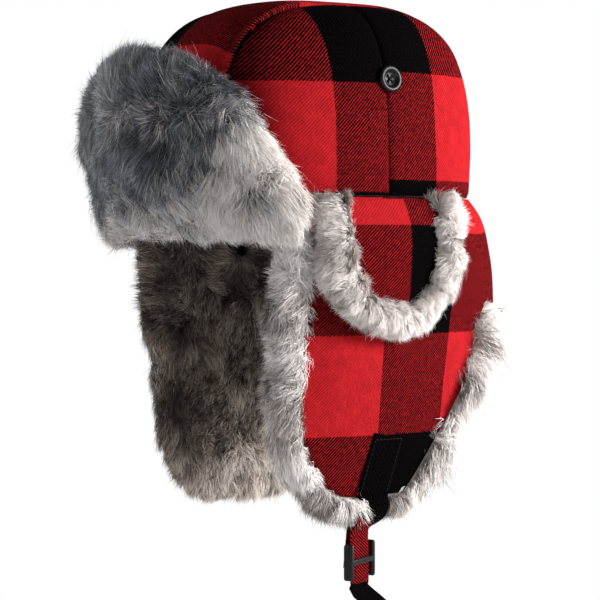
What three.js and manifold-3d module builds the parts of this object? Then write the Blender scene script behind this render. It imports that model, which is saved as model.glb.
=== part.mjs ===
// Trapper hat: a plaid wool crown with fur-lined flaps, ear covers and a chin strap.
// Millimetres, +Z up. The origin is the middle of the head opening, on the crown's bottom seam.
// The brow is at -Y and the wearer's left is at +X.
import * as THREE from "three";
import { mergeVertices } from "three/addons/utils/BufferGeometryUtils.js";
import Module from "manifold-3d";

const wasm = await Module();
wasm.setup();

// ---------- Driving dimensions ----------

const GAP = 0.3;

// The crown: a boxy dome that stands on an oval seam.
const CROWN_HALF_WIDTH = 90;
const CROWN_HALF_LENGTH = 110;
const CROWN_HEIGHT = 128;
const PLAN_POWER = 2.4;
const DOME_POWER = 3.45;
const DOME_POWER_CHANGE = 0.35;
const CENTRE_PANEL_WIDTH = 90;
const PANEL_THICKNESS = 2;
const PADDING_THICKNESS = 4;
const LINING_THICKNESS = 1.2;
const DOME_SEGMENTS = 40;
const DOME_RINGS = 10;

// The curtain: the band below the seam, cut into two ear flaps and a neck flap.
const WOOL = 2;
const FUR = 14;
const LAYER_GAP = 0.9;
const CURTAIN_TOP = -1;
const EAR_FRONT = -61;
const EAR_REAR = 84;
const EAR_BOTTOM = -191;
const EAR_BOTTOM_FRONT = -24;
const EAR_BOTTOM_REAR = 20;
const EAR_CORNER_START = -140;
const EAR_SLOPE_START = -85;
const NECK_BOTTOM = -72;
const FUR_FRINGE = 11;
const FRONT_STRIP = 17;
const FRONT_STRIP_TOP = -40;
const NECK_FRINGE = 28;
const JUNCTION_HALF_GAP = 0.5;
const PORT_HALF_WIDTH = 22;
const PORT_HALF_HEIGHT = 25;
const PORT_Z = -34;

// The front flap: turned up against the crown, with its fur outwards.
const FRONT_TURN = 56;
const FRONT_BOTTOM = -24;
const FRONT_HEIGHT = 108;
const FRONT_FUR = 29;
const FRONT_LEAN = 13;
const FRONT_CLEARANCE = 3;

// The ear covers: a U of plaid with a fur border, sewn in at the crown seam.
const COVER_HALF_WIDTH = 39;
const COVER_STRAIGHT = 32;
const COVER_BORDER = 18;
const COVER_STANDOFF = 2.2;
const COVER_FUR = 9;

// The buttons on the crown, one above each ear cover.
const BUTTON_RADIUS = 8.5;
const BUTTON_THICKNESS = 3.2;
const BUTTON_AT = new THREE.Vector3(86.8, 2, 74);
const BUTTON_TILT = THREE.MathUtils.degToRad(84);
const BUTTON_HOLE_RADIUS = 0.9;
const BUTTON_HOLE_SPREAD = 1.9;

// The chin strap and its plastic fittings.
const STRAP_WIDTH = 25;
const STRAP_THICKNESS = 1.6;
const STRAP_Y = 3;
const SEWN_LEAN = -9;
const SEWN_TOP = -153;
const SLIDER_AT = new THREE.Vector3(77, -14, -232);
const PLUG_AT = new THREE.Vector3(86, 10, -300);
const TAB_TOP = -104;
const TAB_FOLD = -138;
const SOCKET_LENGTH = 34;
const BUCKLE_WIDTH = STRAP_WIDTH + 7;

// The strap's width direction about Z, where it is sewn on, at the slider and at the plug.
const SEWN_TURN = THREE.MathUtils.degToRad(90);
const SLIDER_TURN = THREE.MathUtils.degToRad(115);
const PLUG_TURN = THREE.MathUtils.degToRad(95);

// ---------- Solids ----------

// A three.js geometry as a manifold-3d solid that faces out.
function solid(geometry) {
  const bare = geometry.clone();
  bare.deleteAttribute("normal");
  bare.deleteAttribute("uv");
  const merged = mergeVertices(bare, 1e-3);
  const place = merged.attributes.position;
  const corner = (i) => new THREE.Vector3().fromBufferAttribute(place, i);
  const kept = [];
  let volume = 0;
  for (let i = 0; i < merged.index.count; i += 3) {
    const [a, b, c] = [0, 1, 2].map((k) => merged.index.getX(i + k));
    if (a === b || b === c || c === a) continue;
    kept.push([a, b, c]);
    volume += corner(a).dot(corner(b).cross(corner(c)));
  }
  const faces = volume > 0 ? kept : kept.map(([a, b, c]) => [a, c, b]);
  const mesh = new wasm.Mesh({
    numProp: 3,
    vertProperties: merged.attributes.position.array,
    triVerts: new Uint32Array(faces.flat()),
  });
  return new wasm.Manifold(mesh);
}

// A manifold-3d solid as a three.js geometry.
function geometryOf(shape) {
  const mesh = shape.getMesh();
  const geometry = new THREE.BufferGeometry();
  geometry.setAttribute("position", new THREE.BufferAttribute(mesh.vertProperties, 3));
  geometry.setIndex(new THREE.BufferAttribute(mesh.triVerts, 1));
  geometry.computeVertexNormals();
  return geometry;
}

// The same shape on the other side of the hat.
function mirrored(geometry) {
  return geometryOf(solid(geometry.clone().scale(-1, 1, 1)));
}

function box(width, length, height, x = 0, y = 0, z = 0) {
  return solid(new THREE.BoxGeometry(width, length, height).translate(x, y, z));
}

function joined(shapes) {
  return shapes.reduce((whole, shape) => whole.add(shape));
}

// A closed slab whose point (u, v, w), each from 0 to 1, is given by a function.
function slab(pointAt, across, down) {
  const geometry = new THREE.BoxGeometry(1, 1, 1, across, down, 1);
  const place = geometry.attributes.position;
  for (let i = 0; i < place.count; i++) {
    const p = pointAt(place.getX(i) + 0.5, 0.5 - place.getY(i), place.getZ(i) + 0.5);
    place.setXYZ(i, p.x, p.y, p.z);
  }
  return solid(geometry);
}

const lerp = THREE.MathUtils.lerp;
const radians = THREE.MathUtils.degToRad;
const smooth = THREE.MathUtils.smoothstep;
const signedPower = (value, power) => Math.sign(value) * Math.abs(value) ** power;

// ---------- The oval that everything hangs from ----------

// A point on the seam's oval and its outward direction. Angle 0 is the left side, 90 degrees the back.
function seamPoint(angle) {
  const x = CROWN_HALF_WIDTH * signedPower(Math.cos(angle), 2 / PLAN_POWER);
  const y = CROWN_HALF_LENGTH * signedPower(Math.sin(angle), 2 / PLAN_POWER);
  const slopeX = signedPower(x / CROWN_HALF_WIDTH, PLAN_POWER - 1) / CROWN_HALF_WIDTH;
  const slopeY = signedPower(y / CROWN_HALF_LENGTH, PLAN_POWER - 1) / CROWN_HALF_LENGTH;
  const point = new THREE.Vector3(x, y, 0);
  const outward = new THREE.Vector3(slopeX, slopeY, 0).normalize();
  return { point, outward };
}

// The angle at which the left half of the seam passes a given y.
function seamAngle(y) {
  return Math.asin(signedPower(y / CROWN_HALF_LENGTH, PLAN_POWER / 2));
}

// ---------- Crown ----------

// A solid dome, smaller than the crown's outside by inset all round.
function dome(inset, base = 0) {
  const profile = [new THREE.Vector2(0, 0)];
  for (let i = 0; i < DOME_RINGS; i++) {
    const rise = (i / DOME_RINGS) * (Math.PI / 2);
    profile.push(new THREE.Vector2(Math.cos(rise), Math.sin(rise)));
  }
  profile.push(new THREE.Vector2(0, 1));
  const geometry = new THREE.LatheGeometry(profile, DOME_SEGMENTS);
  const place = geometry.attributes.position;
  for (let i = 0; i < place.count; i++) {
    const reach = Math.hypot(place.getX(i), place.getZ(i));
    const angle = Math.atan2(place.getZ(i), place.getX(i));
    const power = DOME_POWER + DOME_POWER_CHANGE * Math.sin(angle);
    const spread = reach ** (2 / power);
    const level = Math.max(0, place.getY(i)) ** (2 / power);
    const x = (CROWN_HALF_WIDTH - inset) * spread * signedPower(Math.cos(angle), 2 / PLAN_POWER);
    const y = (CROWN_HALF_LENGTH - inset) * spread * signedPower(Math.sin(angle), 2 / PLAN_POWER);
    const z = level > 0 ? (CROWN_HEIGHT - inset) * level : base;
    place.setXYZ(i, x, y, z);
  }
  return solid(geometry);
}

function domeShell(outerInset, thickness) {
  return dome(outerInset).subtract(dome(outerInset + thickness, -5));
}

const paddingInset = PANEL_THICKNESS + GAP;
const liningInset = paddingInset + PADDING_THICKNESS + GAP;
const panels = domeShell(0, PANEL_THICKNESS);
const BIG = 400;

function centrePanel() {
  return panels.intersect(box(CENTRE_PANEL_WIDTH - GAP, BIG, BIG));
}

// One of the four side panels: side is +1 on the left, end is -1 at the front.
function sidePanel(side, end) {
  const cut = box(BIG, BIG, BIG, side * (BIG + CENTRE_PANEL_WIDTH + GAP) / 2, end * (BIG + GAP) / 2);
  return panels.intersect(cut);
}

// A four-hole button with a raised rim, its back on the origin and its face towards +Z.
function button() {
  const rim = BUTTON_RADIUS - 2;
  const profile = [
    [0, 0], [BUTTON_RADIUS - 1, 0], [BUTTON_RADIUS, 1], [BUTTON_RADIUS, BUTTON_THICKNESS - 0.8],
    [BUTTON_RADIUS - 0.8, BUTTON_THICKNESS], [rim, BUTTON_THICKNESS],
    [rim - 0.8, BUTTON_THICKNESS - 1], [0, BUTTON_THICKNESS - 1],
  ].map(([x, y]) => new THREE.Vector2(x, y));
  const disc = new THREE.LatheGeometry(profile, 28).rotateX(Math.PI / 2);
  const holes = [0, 1, 2, 3].map((i) => {
    const turn = (i + 0.5) * (Math.PI / 2);
    const hole = new THREE.CylinderGeometry(BUTTON_HOLE_RADIUS, BUTTON_HOLE_RADIUS, 10, 8);
    hole.rotateX(Math.PI / 2);
    const spread = BUTTON_HOLE_SPREAD * Math.SQRT2;
    return solid(hole.translate(spread * Math.cos(turn), spread * Math.sin(turn), 0));
  });
  return geometryOf(solid(disc).subtract(joined(holes)));
}

// ---------- Curtain: ear flaps and neck flap ----------

// How far the curtain stands out from the seam's oval, at the sides and at the back.
function curtainBulge(angle, z) {
  const depth = z / EAR_BOTTOM;
  const atSide = 100 * depth * Math.exp(-5 * depth) - 12 * depth * depth;
  const atBack = 23 * (1 - Math.exp(z / 24));
  const fromSide = Math.abs(Math.PI / 2 - Math.abs(angle - Math.PI / 2));
  return lerp(atSide, atBack, smooth(angle > 0 ? fromSide : 0, radians(20), radians(80)));
}

// A point on the curtain at a given angle and height, depth out from its wool face.
function curtainPoint(angle, z, depth) {
  const { point, outward } = seamPoint(angle);
  return point.addScaledVector(outward, curtainBulge(angle, z) + depth).setZ(z);
}

// The front and rear edges of an ear flap, where fringe widens the outline.
function earFront(z, fringe) {
  const bottom = EAR_BOTTOM - fringe;
  if (z > EAR_CORNER_START) return EAR_FRONT - fringe;
  const fall = Math.min(1, (EAR_CORNER_START - z) / (EAR_CORNER_START - bottom));
  return EAR_BOTTOM_FRONT - (EAR_BOTTOM_FRONT - EAR_FRONT + fringe) * Math.sqrt(1 - fall * fall);
}

function earRear(z, fringe) {
  const bottom = EAR_BOTTOM - fringe;
  const fall = Math.max(0, (EAR_SLOPE_START - z) / (EAR_SLOPE_START - bottom));
  return lerp(EAR_REAR, EAR_BOTTOM_REAR, fall ** 1.5);
}

// A hole for the ear, right through the wool and the fur.
function earPort() {
  const hole = new THREE.CylinderGeometry(1, 1, 60, 20);
  hole.rotateZ(Math.PI / 2);
  hole.scale(1, PORT_HALF_WIDTH, PORT_HALF_HEIGHT);
  return solid(hole.translate(CROWN_HALF_WIDTH, 0, PORT_Z));
}

function earShell() {
  const shape = slab((u, v, w) => {
    const z = lerp(CURTAIN_TOP, EAR_BOTTOM, v);
    const y = lerp(earFront(z, 0), earRear(z, 0) - JUNCTION_HALF_GAP, u);
    return curtainPoint(seamAngle(y), z, lerp(-WOOL, 0, w));
  }, 9, 14);
  return geometryOf(shape.subtract(earPort()));
}

function earFur() {
  const shape = slab((u, v, w) => {
    const z = lerp(CURTAIN_TOP - 2, EAR_BOTTOM - FUR_FRINGE, v);
    const strip = FRONT_STRIP * smooth(-z, -FRONT_STRIP_TOP - 12, -FRONT_STRIP_TOP + 10);
    const front = Math.min(earFront(z, 0), earFront(z, FUR_FRINGE) + FUR_FRINGE) - strip;
    const y = lerp(front, earRear(z, FUR_FRINGE) - JUNCTION_HALF_GAP, u);
    return curtainPoint(seamAngle(y), z, lerp(-WOOL - LAYER_GAP - FUR, -WOOL - LAYER_GAP, w));
  }, 9, 14);
  return geometryOf(shape.subtract(earPort()));
}

const junctionAngle = seamAngle(EAR_REAR + JUNCTION_HALF_GAP);

function neckSlab(top, bottom, inner, outer) {
  return geometryOf(slab((u, v, w) => {
    const angle = lerp(junctionAngle, Math.PI - junctionAngle, u);
    const corner = smooth(Math.abs(angle - Math.PI / 2), radians(20), radians(45));
    const z = lerp(top, bottom - 10 * corner, v ** 1.5);
    return curtainPoint(angle, z, lerp(inner, outer, w));
  }, 14, 8));
}

// ---------- Front flap ----------

// A point on the turned-up flap: turn from -1 to 1 across it, rise from 0 to 1 up it.
function frontPoint(turn, rise, depth) {
  const { point, outward } = seamPoint(radians(-90 + FRONT_TURN * turn));
  const height = FRONT_HEIGHT * (1 - Math.abs(0.97 * turn) ** 2.2) ** 0.8;
  const lean = FRONT_LEAN * rise * height / FRONT_HEIGHT;
  const z = FRONT_BOTTOM + height * rise;
  return point.addScaledVector(outward, FRONT_CLEARANCE + lean + depth).setZ(z);
}

function frontShell() {
  return geometryOf(slab((u, v, w) => frontPoint(2 * u - 1, v, WOOL * w), 18, 6));
}

function frontFur() {
  return geometryOf(slab((u, v, w) => {
    const plump = Math.sqrt(1 - Math.abs(2 * v - 1) ** 3);
    const taper = Math.sqrt(1 - Math.abs(0.9 * (2 * u - 1)) ** 6);
    const depth = lerp(4, FRONT_FUR, plump * taper);
    return frontPoint(2 * u - 1, v, WOOL + GAP + depth * w);
  }, 18, 8));
}

// ---------- Ear cover ----------

// The cover's outline, widened by border: a point at a share of the way along the U.
function coverOutline(share, border) {
  const half = COVER_HALF_WIDTH + border;
  const arc = Math.PI * half;
  const along = share * (arc + 2 * COVER_STRAIGHT);
  if (along < COVER_STRAIGHT) return new THREE.Vector2(-half, -along);
  if (along > COVER_STRAIGHT + arc) {
    return new THREE.Vector2(half, along - arc - 2 * COVER_STRAIGHT);
  }
  const turn = (along - COVER_STRAIGHT) / half;
  return new THREE.Vector2(-half * Math.cos(turn), -COVER_STRAIGHT - half * Math.sin(turn));
}

function coverShell() {
  return geometryOf(slab((u, v, w) => {
    const z = lerp(CURTAIN_TOP - 1, -COVER_STRAIGHT - COVER_HALF_WIDTH, v);
    const drop = Math.max(0, -z - COVER_STRAIGHT) / COVER_HALF_WIDTH;
    const half = (COVER_HALF_WIDTH - GAP) * Math.sqrt(Math.max(0.03, 1 - drop * drop));
    return curtainPoint(seamAngle(half * (2 * u - 1)), z, COVER_STANDOFF + WOOL * w);
  }, 8, 10));
}

function coverFur() {
  return geometryOf(slab((u, v, w) => {
    const at = coverOutline(v, COVER_BORDER * u);
    const plump = Math.sqrt(1 - (2 * u - 1) ** 4);
    const depth = COVER_STANDOFF - 0.7 + lerp(2, COVER_FUR, plump) * w;
    return curtainPoint(seamAngle(at.x), at.y + CURTAIN_TOP - 1, depth);
  }, 4, 20));
}

// ---------- Chin strap ----------

// The direction that a turn about Z takes +X to.
function headingAt(turn) {
  return new THREE.Vector3(Math.cos(turn), Math.sin(turn), 0);
}

// A flat strap along a curve; across gives its width direction at a share of the way.
function strap(route, across, steps) {
  return geometryOf(slab((u, v, w) => {
    const centre = route.getPointAt(v);
    const ahead = route.getTangentAt(v);
    const facing = new THREE.Vector3().crossVectors(ahead, across(v)).normalize();
    const side = new THREE.Vector3().crossVectors(facing, ahead);
    centre.addScaledVector(side, STRAP_WIDTH * (u - 0.5));
    return centre.addScaledVector(facing, STRAP_THICKNESS * (w - 0.5));
  }, 2, steps));
}

// A length of strap that lies on the outside of an ear flap, and leans forwards on its way down.
function flatStrap(top, bottom, lean = 0) {
  return geometryOf(slab((u, v, w) => {
    const y = STRAP_Y + lean * v + STRAP_WIDTH * (u - 0.5);
    return curtainPoint(seamAngle(y), lerp(top, bottom, v), GAP + STRAP_THICKNESS * w);
  }, 2, 5));
}

function hangingStrap() {
  const { x, y, z } = SLIDER_AT;
  const run = 18;
  const route = new THREE.CatmullRomCurve3([
    new THREE.Vector3(80.2, STRAP_Y + SEWN_LEAN, EAR_BOTTOM - 2.5),
    new THREE.Vector3(81, STRAP_Y + SEWN_LEAN - 1, EAR_BOTTOM - 8),
    new THREE.Vector3(80, -10, EAR_BOTTOM - 15),
    new THREE.Vector3(x, y, z + run),
    new THREE.Vector3(x, y, z + run / 3),
    new THREE.Vector3(x, y, z - run / 3),
    new THREE.Vector3(x, y, z - run + 3),
    new THREE.Vector3(x, y, z - run),
    new THREE.Vector3(81.5, -4, -262),
    new THREE.Vector3(86, 7, -278),
    new THREE.Vector3(PLUG_AT.x, PLUG_AT.y, PLUG_AT.z + 8),
    new THREE.Vector3(PLUG_AT.x, PLUG_AT.y, PLUG_AT.z + 1),
  ]);
  const twist = (v) => {
    const turn = lerp(SEWN_TURN, SLIDER_TURN, smooth(v, 0.05, 0.18));
    return headingAt(lerp(turn, PLUG_TURN, smooth(v, 0.55, 0.85)));
  };
  return strap(route, twist, 24);
}

// The free end of the strap, standing up behind the slider.
function strapTail() {
  const across = headingAt(SLIDER_TURN);
  const behind = headingAt(SLIDER_TURN + Math.PI / 2);
  const start = SLIDER_AT.clone().addScaledVector(behind, 5.2);
  const end = start.clone().addScaledVector(across, 5).setZ(SLIDER_AT.z + 19);
  const route = new THREE.LineCurve3(start.setZ(SLIDER_AT.z - 6), end);
  return strap(route, () => across, 4);
}

// The three-bar slider, in its own frame: width along X, length along Z, face towards -Y.
// Its middle bar lies in front of the strap and its end bars behind.
function slider() {
  const width = BUCKLE_WIDTH;
  const length = 22;
  const rail = 2.8;
  const deep = 6.6;
  const bar = 3.4;
  const thin = 2;
  const shapes = [-1, 1].flatMap((side) => [
    box(rail, deep, length, side * (width - rail) / 2),
    box(width - 1, thin, bar, 0, (deep - thin) / 2, side * (length - bar) / 2),
  ]);
  shapes.push(box(width - 1, thin, bar, 0, -(deep - thin) / 2));
  return geometryOf(joined(shapes));
}

// A flat plastic shape cut from an outline in X and Z, and centred in Y.
function plate(points, thickness) {
  const outline = new THREE.Shape(points.map(([x, z]) => new THREE.Vector2(x, z)));
  const geometry = new THREE.ExtrudeGeometry(outline, { depth: thickness, bevelEnabled: false });
  return solid(geometry.translate(0, 0, -thickness / 2).rotateX(Math.PI / 2));
}

// The side-release plug: a body with two sprung prongs and a middle tongue, pointing down.
function plug() {
  const wide = BUCKLE_WIDTH / 2 - 1;
  const half = [
    [wide, 0], [wide, -13], [wide - 3, -15], [wide - 3, -24], [wide - 1, -27], [wide - 1, -31],
    [wide - 4.5, -38], [wide - 6.5, -38], [wide - 6, -18], [2.2, -18], [1.8, -36],
  ];
  const mirror = half.map(([x, z]) => [-x, z]).reverse();
  const body = plate([...half, ...mirror], 5);
  const slot = box(STRAP_WIDTH - 1, 8, 2.6, 0, 0, -5.5);
  return geometryOf(body.subtract(slot));
}

// The side-release socket: a flat sleeve with windows for the prongs, its mouth at the bottom.
function socket() {
  const width = BUCKLE_WIDTH;
  const thickness = 9;
  const hollow = 5.6;
  const body = box(width, thickness, SOCKET_LENGTH, 0, 0, -SOCKET_LENGTH / 2);
  const mouth = box(width - 6, hollow, 26, 0, 0, 1 - SOCKET_LENGTH + 12);
  const window = box(width + 4, hollow, 9, 0, 0, -16);
  const slot = box(STRAP_WIDTH + 1, thickness + 4, 3, 0, 0, -4.5);
  return geometryOf(body.subtract(mouth).subtract(window).subtract(slot));
}

// ---------- Assembly ----------

const hat = new THREE.Group();

function colour(value, roughness) {
  return { color: value, roughness, metalness: 0 };
}

const finishes = {
  plaid: colour(0xa01818, 0.95),
  lightFur: colour(0xc9c4bf, 0.9),
  greyFur: colour(0x6e6a6c, 0.9),
  padding: colour(0xe8e6e0, 1),
  lining: colour(0x16161a, 0.45),
  plastic: colour(0x101012, 0.35),
};

function add(group, name, geometry, finish) {
  const mesh = new THREE.Mesh(geometry, new THREE.MeshStandardMaterial(finishes[finish]));
  mesh.name = name;
  group.add(mesh);
  return mesh;
}

function addCrown() {
  const crown = new THREE.Group();
  add(crown, "crown_centre_panel", geometryOf(centrePanel()), "plaid");
  for (const [sideName, side] of [["left", 1], ["right", -1]]) {
    for (const [endName, end] of [["front", -1], ["rear", 1]]) {
      add(crown, `crown_side_${sideName}_${endName}`, geometryOf(sidePanel(side, end)), "plaid");
    }
    const mesh = add(crown, `crown_button_${sideName}`, button(), "plastic");
    mesh.position.set(side * BUTTON_AT.x, BUTTON_AT.y, BUTTON_AT.z);
    mesh.rotation.y = side * BUTTON_TILT;
  }
  add(crown, "crown_padding", geometryOf(domeShell(paddingInset, PADDING_THICKNESS)), "padding");
  add(crown, "crown_lining", geometryOf(domeShell(liningInset, LINING_THICKNESS)), "lining");
  hat.add(crown);
}

function addFrontFlap() {
  const flap = new THREE.Group();
  add(flap, "front_flap_shell", frontShell(), "plaid");
  add(flap, "front_flap_fur", frontFur(), "greyFur");
  hat.add(flap);
}

function addNeckFlap() {
  const flap = new THREE.Group();
  const furBottom = NECK_BOTTOM - NECK_FRINGE;
  const furOuter = -WOOL - LAYER_GAP;
  add(flap, "neck_flap_shell", neckSlab(CURTAIN_TOP, NECK_BOTTOM, -WOOL, 0), "plaid");
  const fur = neckSlab(CURTAIN_TOP - 2, furBottom, furOuter - FUR, furOuter);
  add(flap, "neck_flap_fur", fur, "lightFur");
  hat.add(flap);
}

function addEarFlap(sideName, side) {
  const flap = new THREE.Group();
  const handed = (geometry) => (side > 0 ? geometry : mirrored(geometry));
  add(flap, `ear_flap_${sideName}_shell`, handed(earShell()), "plaid");
  add(flap, `ear_flap_${sideName}_fur`, handed(earFur()), side > 0 ? "lightFur" : "greyFur");
  const cover = new THREE.Group();
  add(cover, `ear_cover_${sideName}_shell`, handed(coverShell()), "plaid");
  add(cover, `ear_cover_${sideName}_fur`, handed(coverFur()), "lightFur");
  flap.add(cover);
  hat.add(flap);
  return flap;
}

function addChinStrap(flap) {
  add(flap, "strap_left_sewn_end", flatStrap(SEWN_TOP, EAR_BOTTOM, SEWN_LEAN), "plaid");
  const hanging = new THREE.Group();
  add(hanging, "chin_strap", hangingStrap(), "plaid");
  add(hanging, "strap_tail", strapTail(), "plaid");
  const bars = add(hanging, "strap_slider", slider(), "plastic");
  bars.position.copy(SLIDER_AT);
  bars.rotation.z = SLIDER_TURN;
  const prongs = add(hanging, "buckle_plug", plug(), "plastic");
  prongs.position.copy(PLUG_AT);
  prongs.rotation.z = PLUG_TURN;
  flap.add(hanging);
}

function addBuckleTab(flap) {
  add(flap, "strap_right_sewn_end", mirrored(flatStrap(TAB_TOP, TAB_FOLD)), "plaid");
  const tab = new THREE.Group();
  const end = curtainPoint(seamAngle(STRAP_Y), TAB_FOLD, GAP + STRAP_THICKNESS / 2);
  const hang = new THREE.LineCurve3(
    new THREE.Vector3(-end.x - 0.5, STRAP_Y, TAB_FOLD - 0.8),
    new THREE.Vector3(-end.x - 3, STRAP_Y, TAB_FOLD - 9),
  );
  add(tab, "strap_right_tab", strap(hang, () => headingAt(SEWN_TURN), 2), "plaid");
  const sleeve = add(tab, "buckle_socket", socket(), "plastic");
  sleeve.position.set(-end.x - 5.2, STRAP_Y, TAB_FOLD - 9.4);
  sleeve.rotation.z = SEWN_TURN;
  flap.add(tab);
}

addCrown();
addFrontFlap();
addNeckFlap();
addChinStrap(addEarFlap("left", 1));
addBuckleTab(addEarFlap("right", -1));

export default hat;
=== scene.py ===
# Trapper hat: the looks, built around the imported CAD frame.
# Lengths in the shape functions are in millimetres, and become metres when a mesh is made.
import math

import bmesh
import bpy
import numpy as np
from mathutils import Matrix, Vector


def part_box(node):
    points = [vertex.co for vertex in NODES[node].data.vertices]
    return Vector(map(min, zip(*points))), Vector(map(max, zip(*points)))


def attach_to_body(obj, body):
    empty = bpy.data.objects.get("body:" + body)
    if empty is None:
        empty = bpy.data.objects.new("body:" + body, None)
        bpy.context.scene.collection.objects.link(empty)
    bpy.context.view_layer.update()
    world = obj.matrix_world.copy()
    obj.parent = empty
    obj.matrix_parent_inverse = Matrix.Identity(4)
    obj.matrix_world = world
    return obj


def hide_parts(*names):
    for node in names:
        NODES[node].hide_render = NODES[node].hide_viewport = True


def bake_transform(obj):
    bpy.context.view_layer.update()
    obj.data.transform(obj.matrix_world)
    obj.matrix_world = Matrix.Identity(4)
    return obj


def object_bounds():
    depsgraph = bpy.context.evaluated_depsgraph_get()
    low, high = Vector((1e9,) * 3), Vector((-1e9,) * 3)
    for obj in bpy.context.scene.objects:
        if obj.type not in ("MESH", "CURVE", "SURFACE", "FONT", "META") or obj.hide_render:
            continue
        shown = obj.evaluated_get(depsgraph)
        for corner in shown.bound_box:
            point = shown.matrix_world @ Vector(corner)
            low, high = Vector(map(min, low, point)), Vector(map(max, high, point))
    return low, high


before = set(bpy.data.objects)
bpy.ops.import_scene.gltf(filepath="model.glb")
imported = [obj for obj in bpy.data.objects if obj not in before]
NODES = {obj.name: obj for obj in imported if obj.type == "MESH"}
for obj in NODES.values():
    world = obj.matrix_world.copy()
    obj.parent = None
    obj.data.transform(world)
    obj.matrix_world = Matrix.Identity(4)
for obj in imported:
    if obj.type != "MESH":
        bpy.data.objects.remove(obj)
cad_low, cad_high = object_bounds()

MM = 0.001


def node_box(name):
    """A CAD node's lowest and highest corner, in millimetres."""
    low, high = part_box(name)
    return np.array(low) / MM, np.array(high) / MM


# ---------- Sizes read from the frame ----------

CROWN_X = node_box("crown_side_left_front")[1][0]
CROWN_Y = node_box("crown_centre_panel")[1][1]
CROWN_Z = node_box("crown_centre_panel")[1][2]
CENTRE_HALF = node_box("crown_centre_panel")[1][0]
LINING_X = node_box("crown_lining")[1][0]
LINING_Y = node_box("crown_lining")[1][1]
LINING_Z = node_box("crown_lining")[1][2]
EAR_BOTTOM = node_box("ear_flap_left_shell")[0][2]
FRONT_BOTTOM = node_box("front_flap_shell")[0][2]
FRONT_HEIGHT = node_box("front_flap_shell")[1][2] - FRONT_BOTTOM
SLIDER_AT = sum(node_box("strap_slider")) / 2
PLUG_LOW, PLUG_HIGH = node_box("buckle_plug")

# ---------- How many hairs each part has ----------

EAR_HAIRS = 124000
NECK_HAIRS = 80000
FRONT_HAIRS = 240000
COVER_HAIRS = 60000
HAIRS_PER_PIECE = 62000

# ---------- Sizes shared with the CAD source ----------

PLAN_POWER = 2.4
DOME_POWER = 3.45
DOME_POWER_CHANGE = 0.35
CURTAIN_TOP = -1.0
EAR_FRONT = -61.0
EAR_REAR = 84.0
EAR_BOTTOM_FRONT = -24.0
EAR_BOTTOM_REAR = 20.0
EAR_CORNER_START = -140.0
EAR_SLOPE_START = -85.0
NECK_BOTTOM = -72.0
PORT_HALF_WIDTH = 22.0
PORT_HALF_HEIGHT = 25.0
PORT_Z = -34.0
FRONT_TURN = 56.0
FRONT_LEAN = 13.0
FRONT_CLEARANCE = 3.0
COVER_HALF = 39.0
COVER_STRAIGHT = 32.0
COVER_REAR = 0.85
COVER_BORDER = 18.0
COVER_STANDOFF = 2.2
STRAP_WIDTH = 25.0
STRAP_THICKNESS = 1.6
STRAP_Y = 3.0
SEWN_LEAN = -9.0
SEWN_TURN = 90.0
SLIDER_TURN = 115.0
PLUG_TURN = 95.0
CHECK = 64.0
SEWN_PLAID_SHIFT = 70.0

# ---------- Small mathematics ----------


def spow(value, power):
    return np.sign(value) * np.abs(value) ** power


def smooth(x, low, high):
    t = np.clip((np.asarray(x, float) - low) / (high - low), 0, 1)
    return t * t * (3 - 2 * t)


def lerp(a, b, t):
    return a + (b - a) * t


def unit(v):
    return v / np.maximum(np.linalg.norm(v, axis=-1, keepdims=True), 1e-9)


def stack(x, y, z):
    return np.stack(np.broadcast_arrays(x, y, z), -1).astype(float)


def hashed(cells, seed):
    """A random number from 0 to 1 for each row of whole numbers."""
    c = cells.astype(np.int64).astype(np.uint64)
    h = c[..., 0] * np.uint64(73856093) ^ c[..., 1] * np.uint64(19349663) ^ c[..., 2] * np.uint64(83492791)
    h = (h ^ np.uint64(seed * 2654435761 % 2**32)) * np.uint64(0x9E3779B97F4A7C15)
    h ^= h >> np.uint64(29)
    h *= np.uint64(0xBF58476D1CE4E5B9)
    h ^= h >> np.uint64(32)
    return (h & np.uint64(0xFFFFFF)).astype(float) / 0xFFFFFF


def noise(points, size, seed):
    """Smooth noise from -1 to 1 with features of the given size."""
    p = points / size + 100.0
    cell = np.floor(p)
    f = p - cell
    f = f * f * (3 - 2 * f)
    total = np.zeros(p.shape[:-1])
    for corner in np.ndindex(2, 2, 2):
        weight = np.prod(np.where(np.array(corner) == 1, f, 1 - f), axis=-1)
        total += weight * hashed(cell + np.array(corner), seed)
    return 2 * total - 1


def noise_vector(points, size, seed):
    return stack(*(noise(points, size, seed + i) for i in range(3)))


# ---------- The hat's surfaces ----------


def seam(angle):
    """The seam's oval: a point and its outward direction. Angle 0 is the left, 90 degrees the back."""
    x = CROWN_X * spow(np.cos(angle), 2 / PLAN_POWER)
    y = CROWN_Y * spow(np.sin(angle), 2 / PLAN_POWER)
    slope_x = spow(x / CROWN_X, PLAN_POWER - 1) / CROWN_X
    slope_y = spow(y / CROWN_Y, PLAN_POWER - 1) / CROWN_Y
    return stack(x, y, 0), unit(stack(slope_x, slope_y, 0))


def seam_angle(y):
    return np.arcsin(np.clip(spow(np.asarray(y) / CROWN_Y, PLAN_POWER / 2), -1, 1))


def bulge(angle, z):
    """How far the curtain stands out from the oval."""
    depth = z / EAR_BOTTOM
    at_side = 100 * depth * np.exp(-5 * depth) - 12 * depth * depth
    at_back = 23 * (1 - np.exp(z / 24))
    from_side = np.where(angle > 0, np.pi / 2 - np.abs(angle - np.pi / 2), 0)
    return lerp(at_side, at_back, smooth(from_side, math.radians(20), math.radians(80)))


def curtain(angle, z, depth):
    point, outward = seam(angle)
    moved = point + outward * (bulge(angle, z) + depth)[..., None]
    moved[..., 2] = z
    return moved


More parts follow.
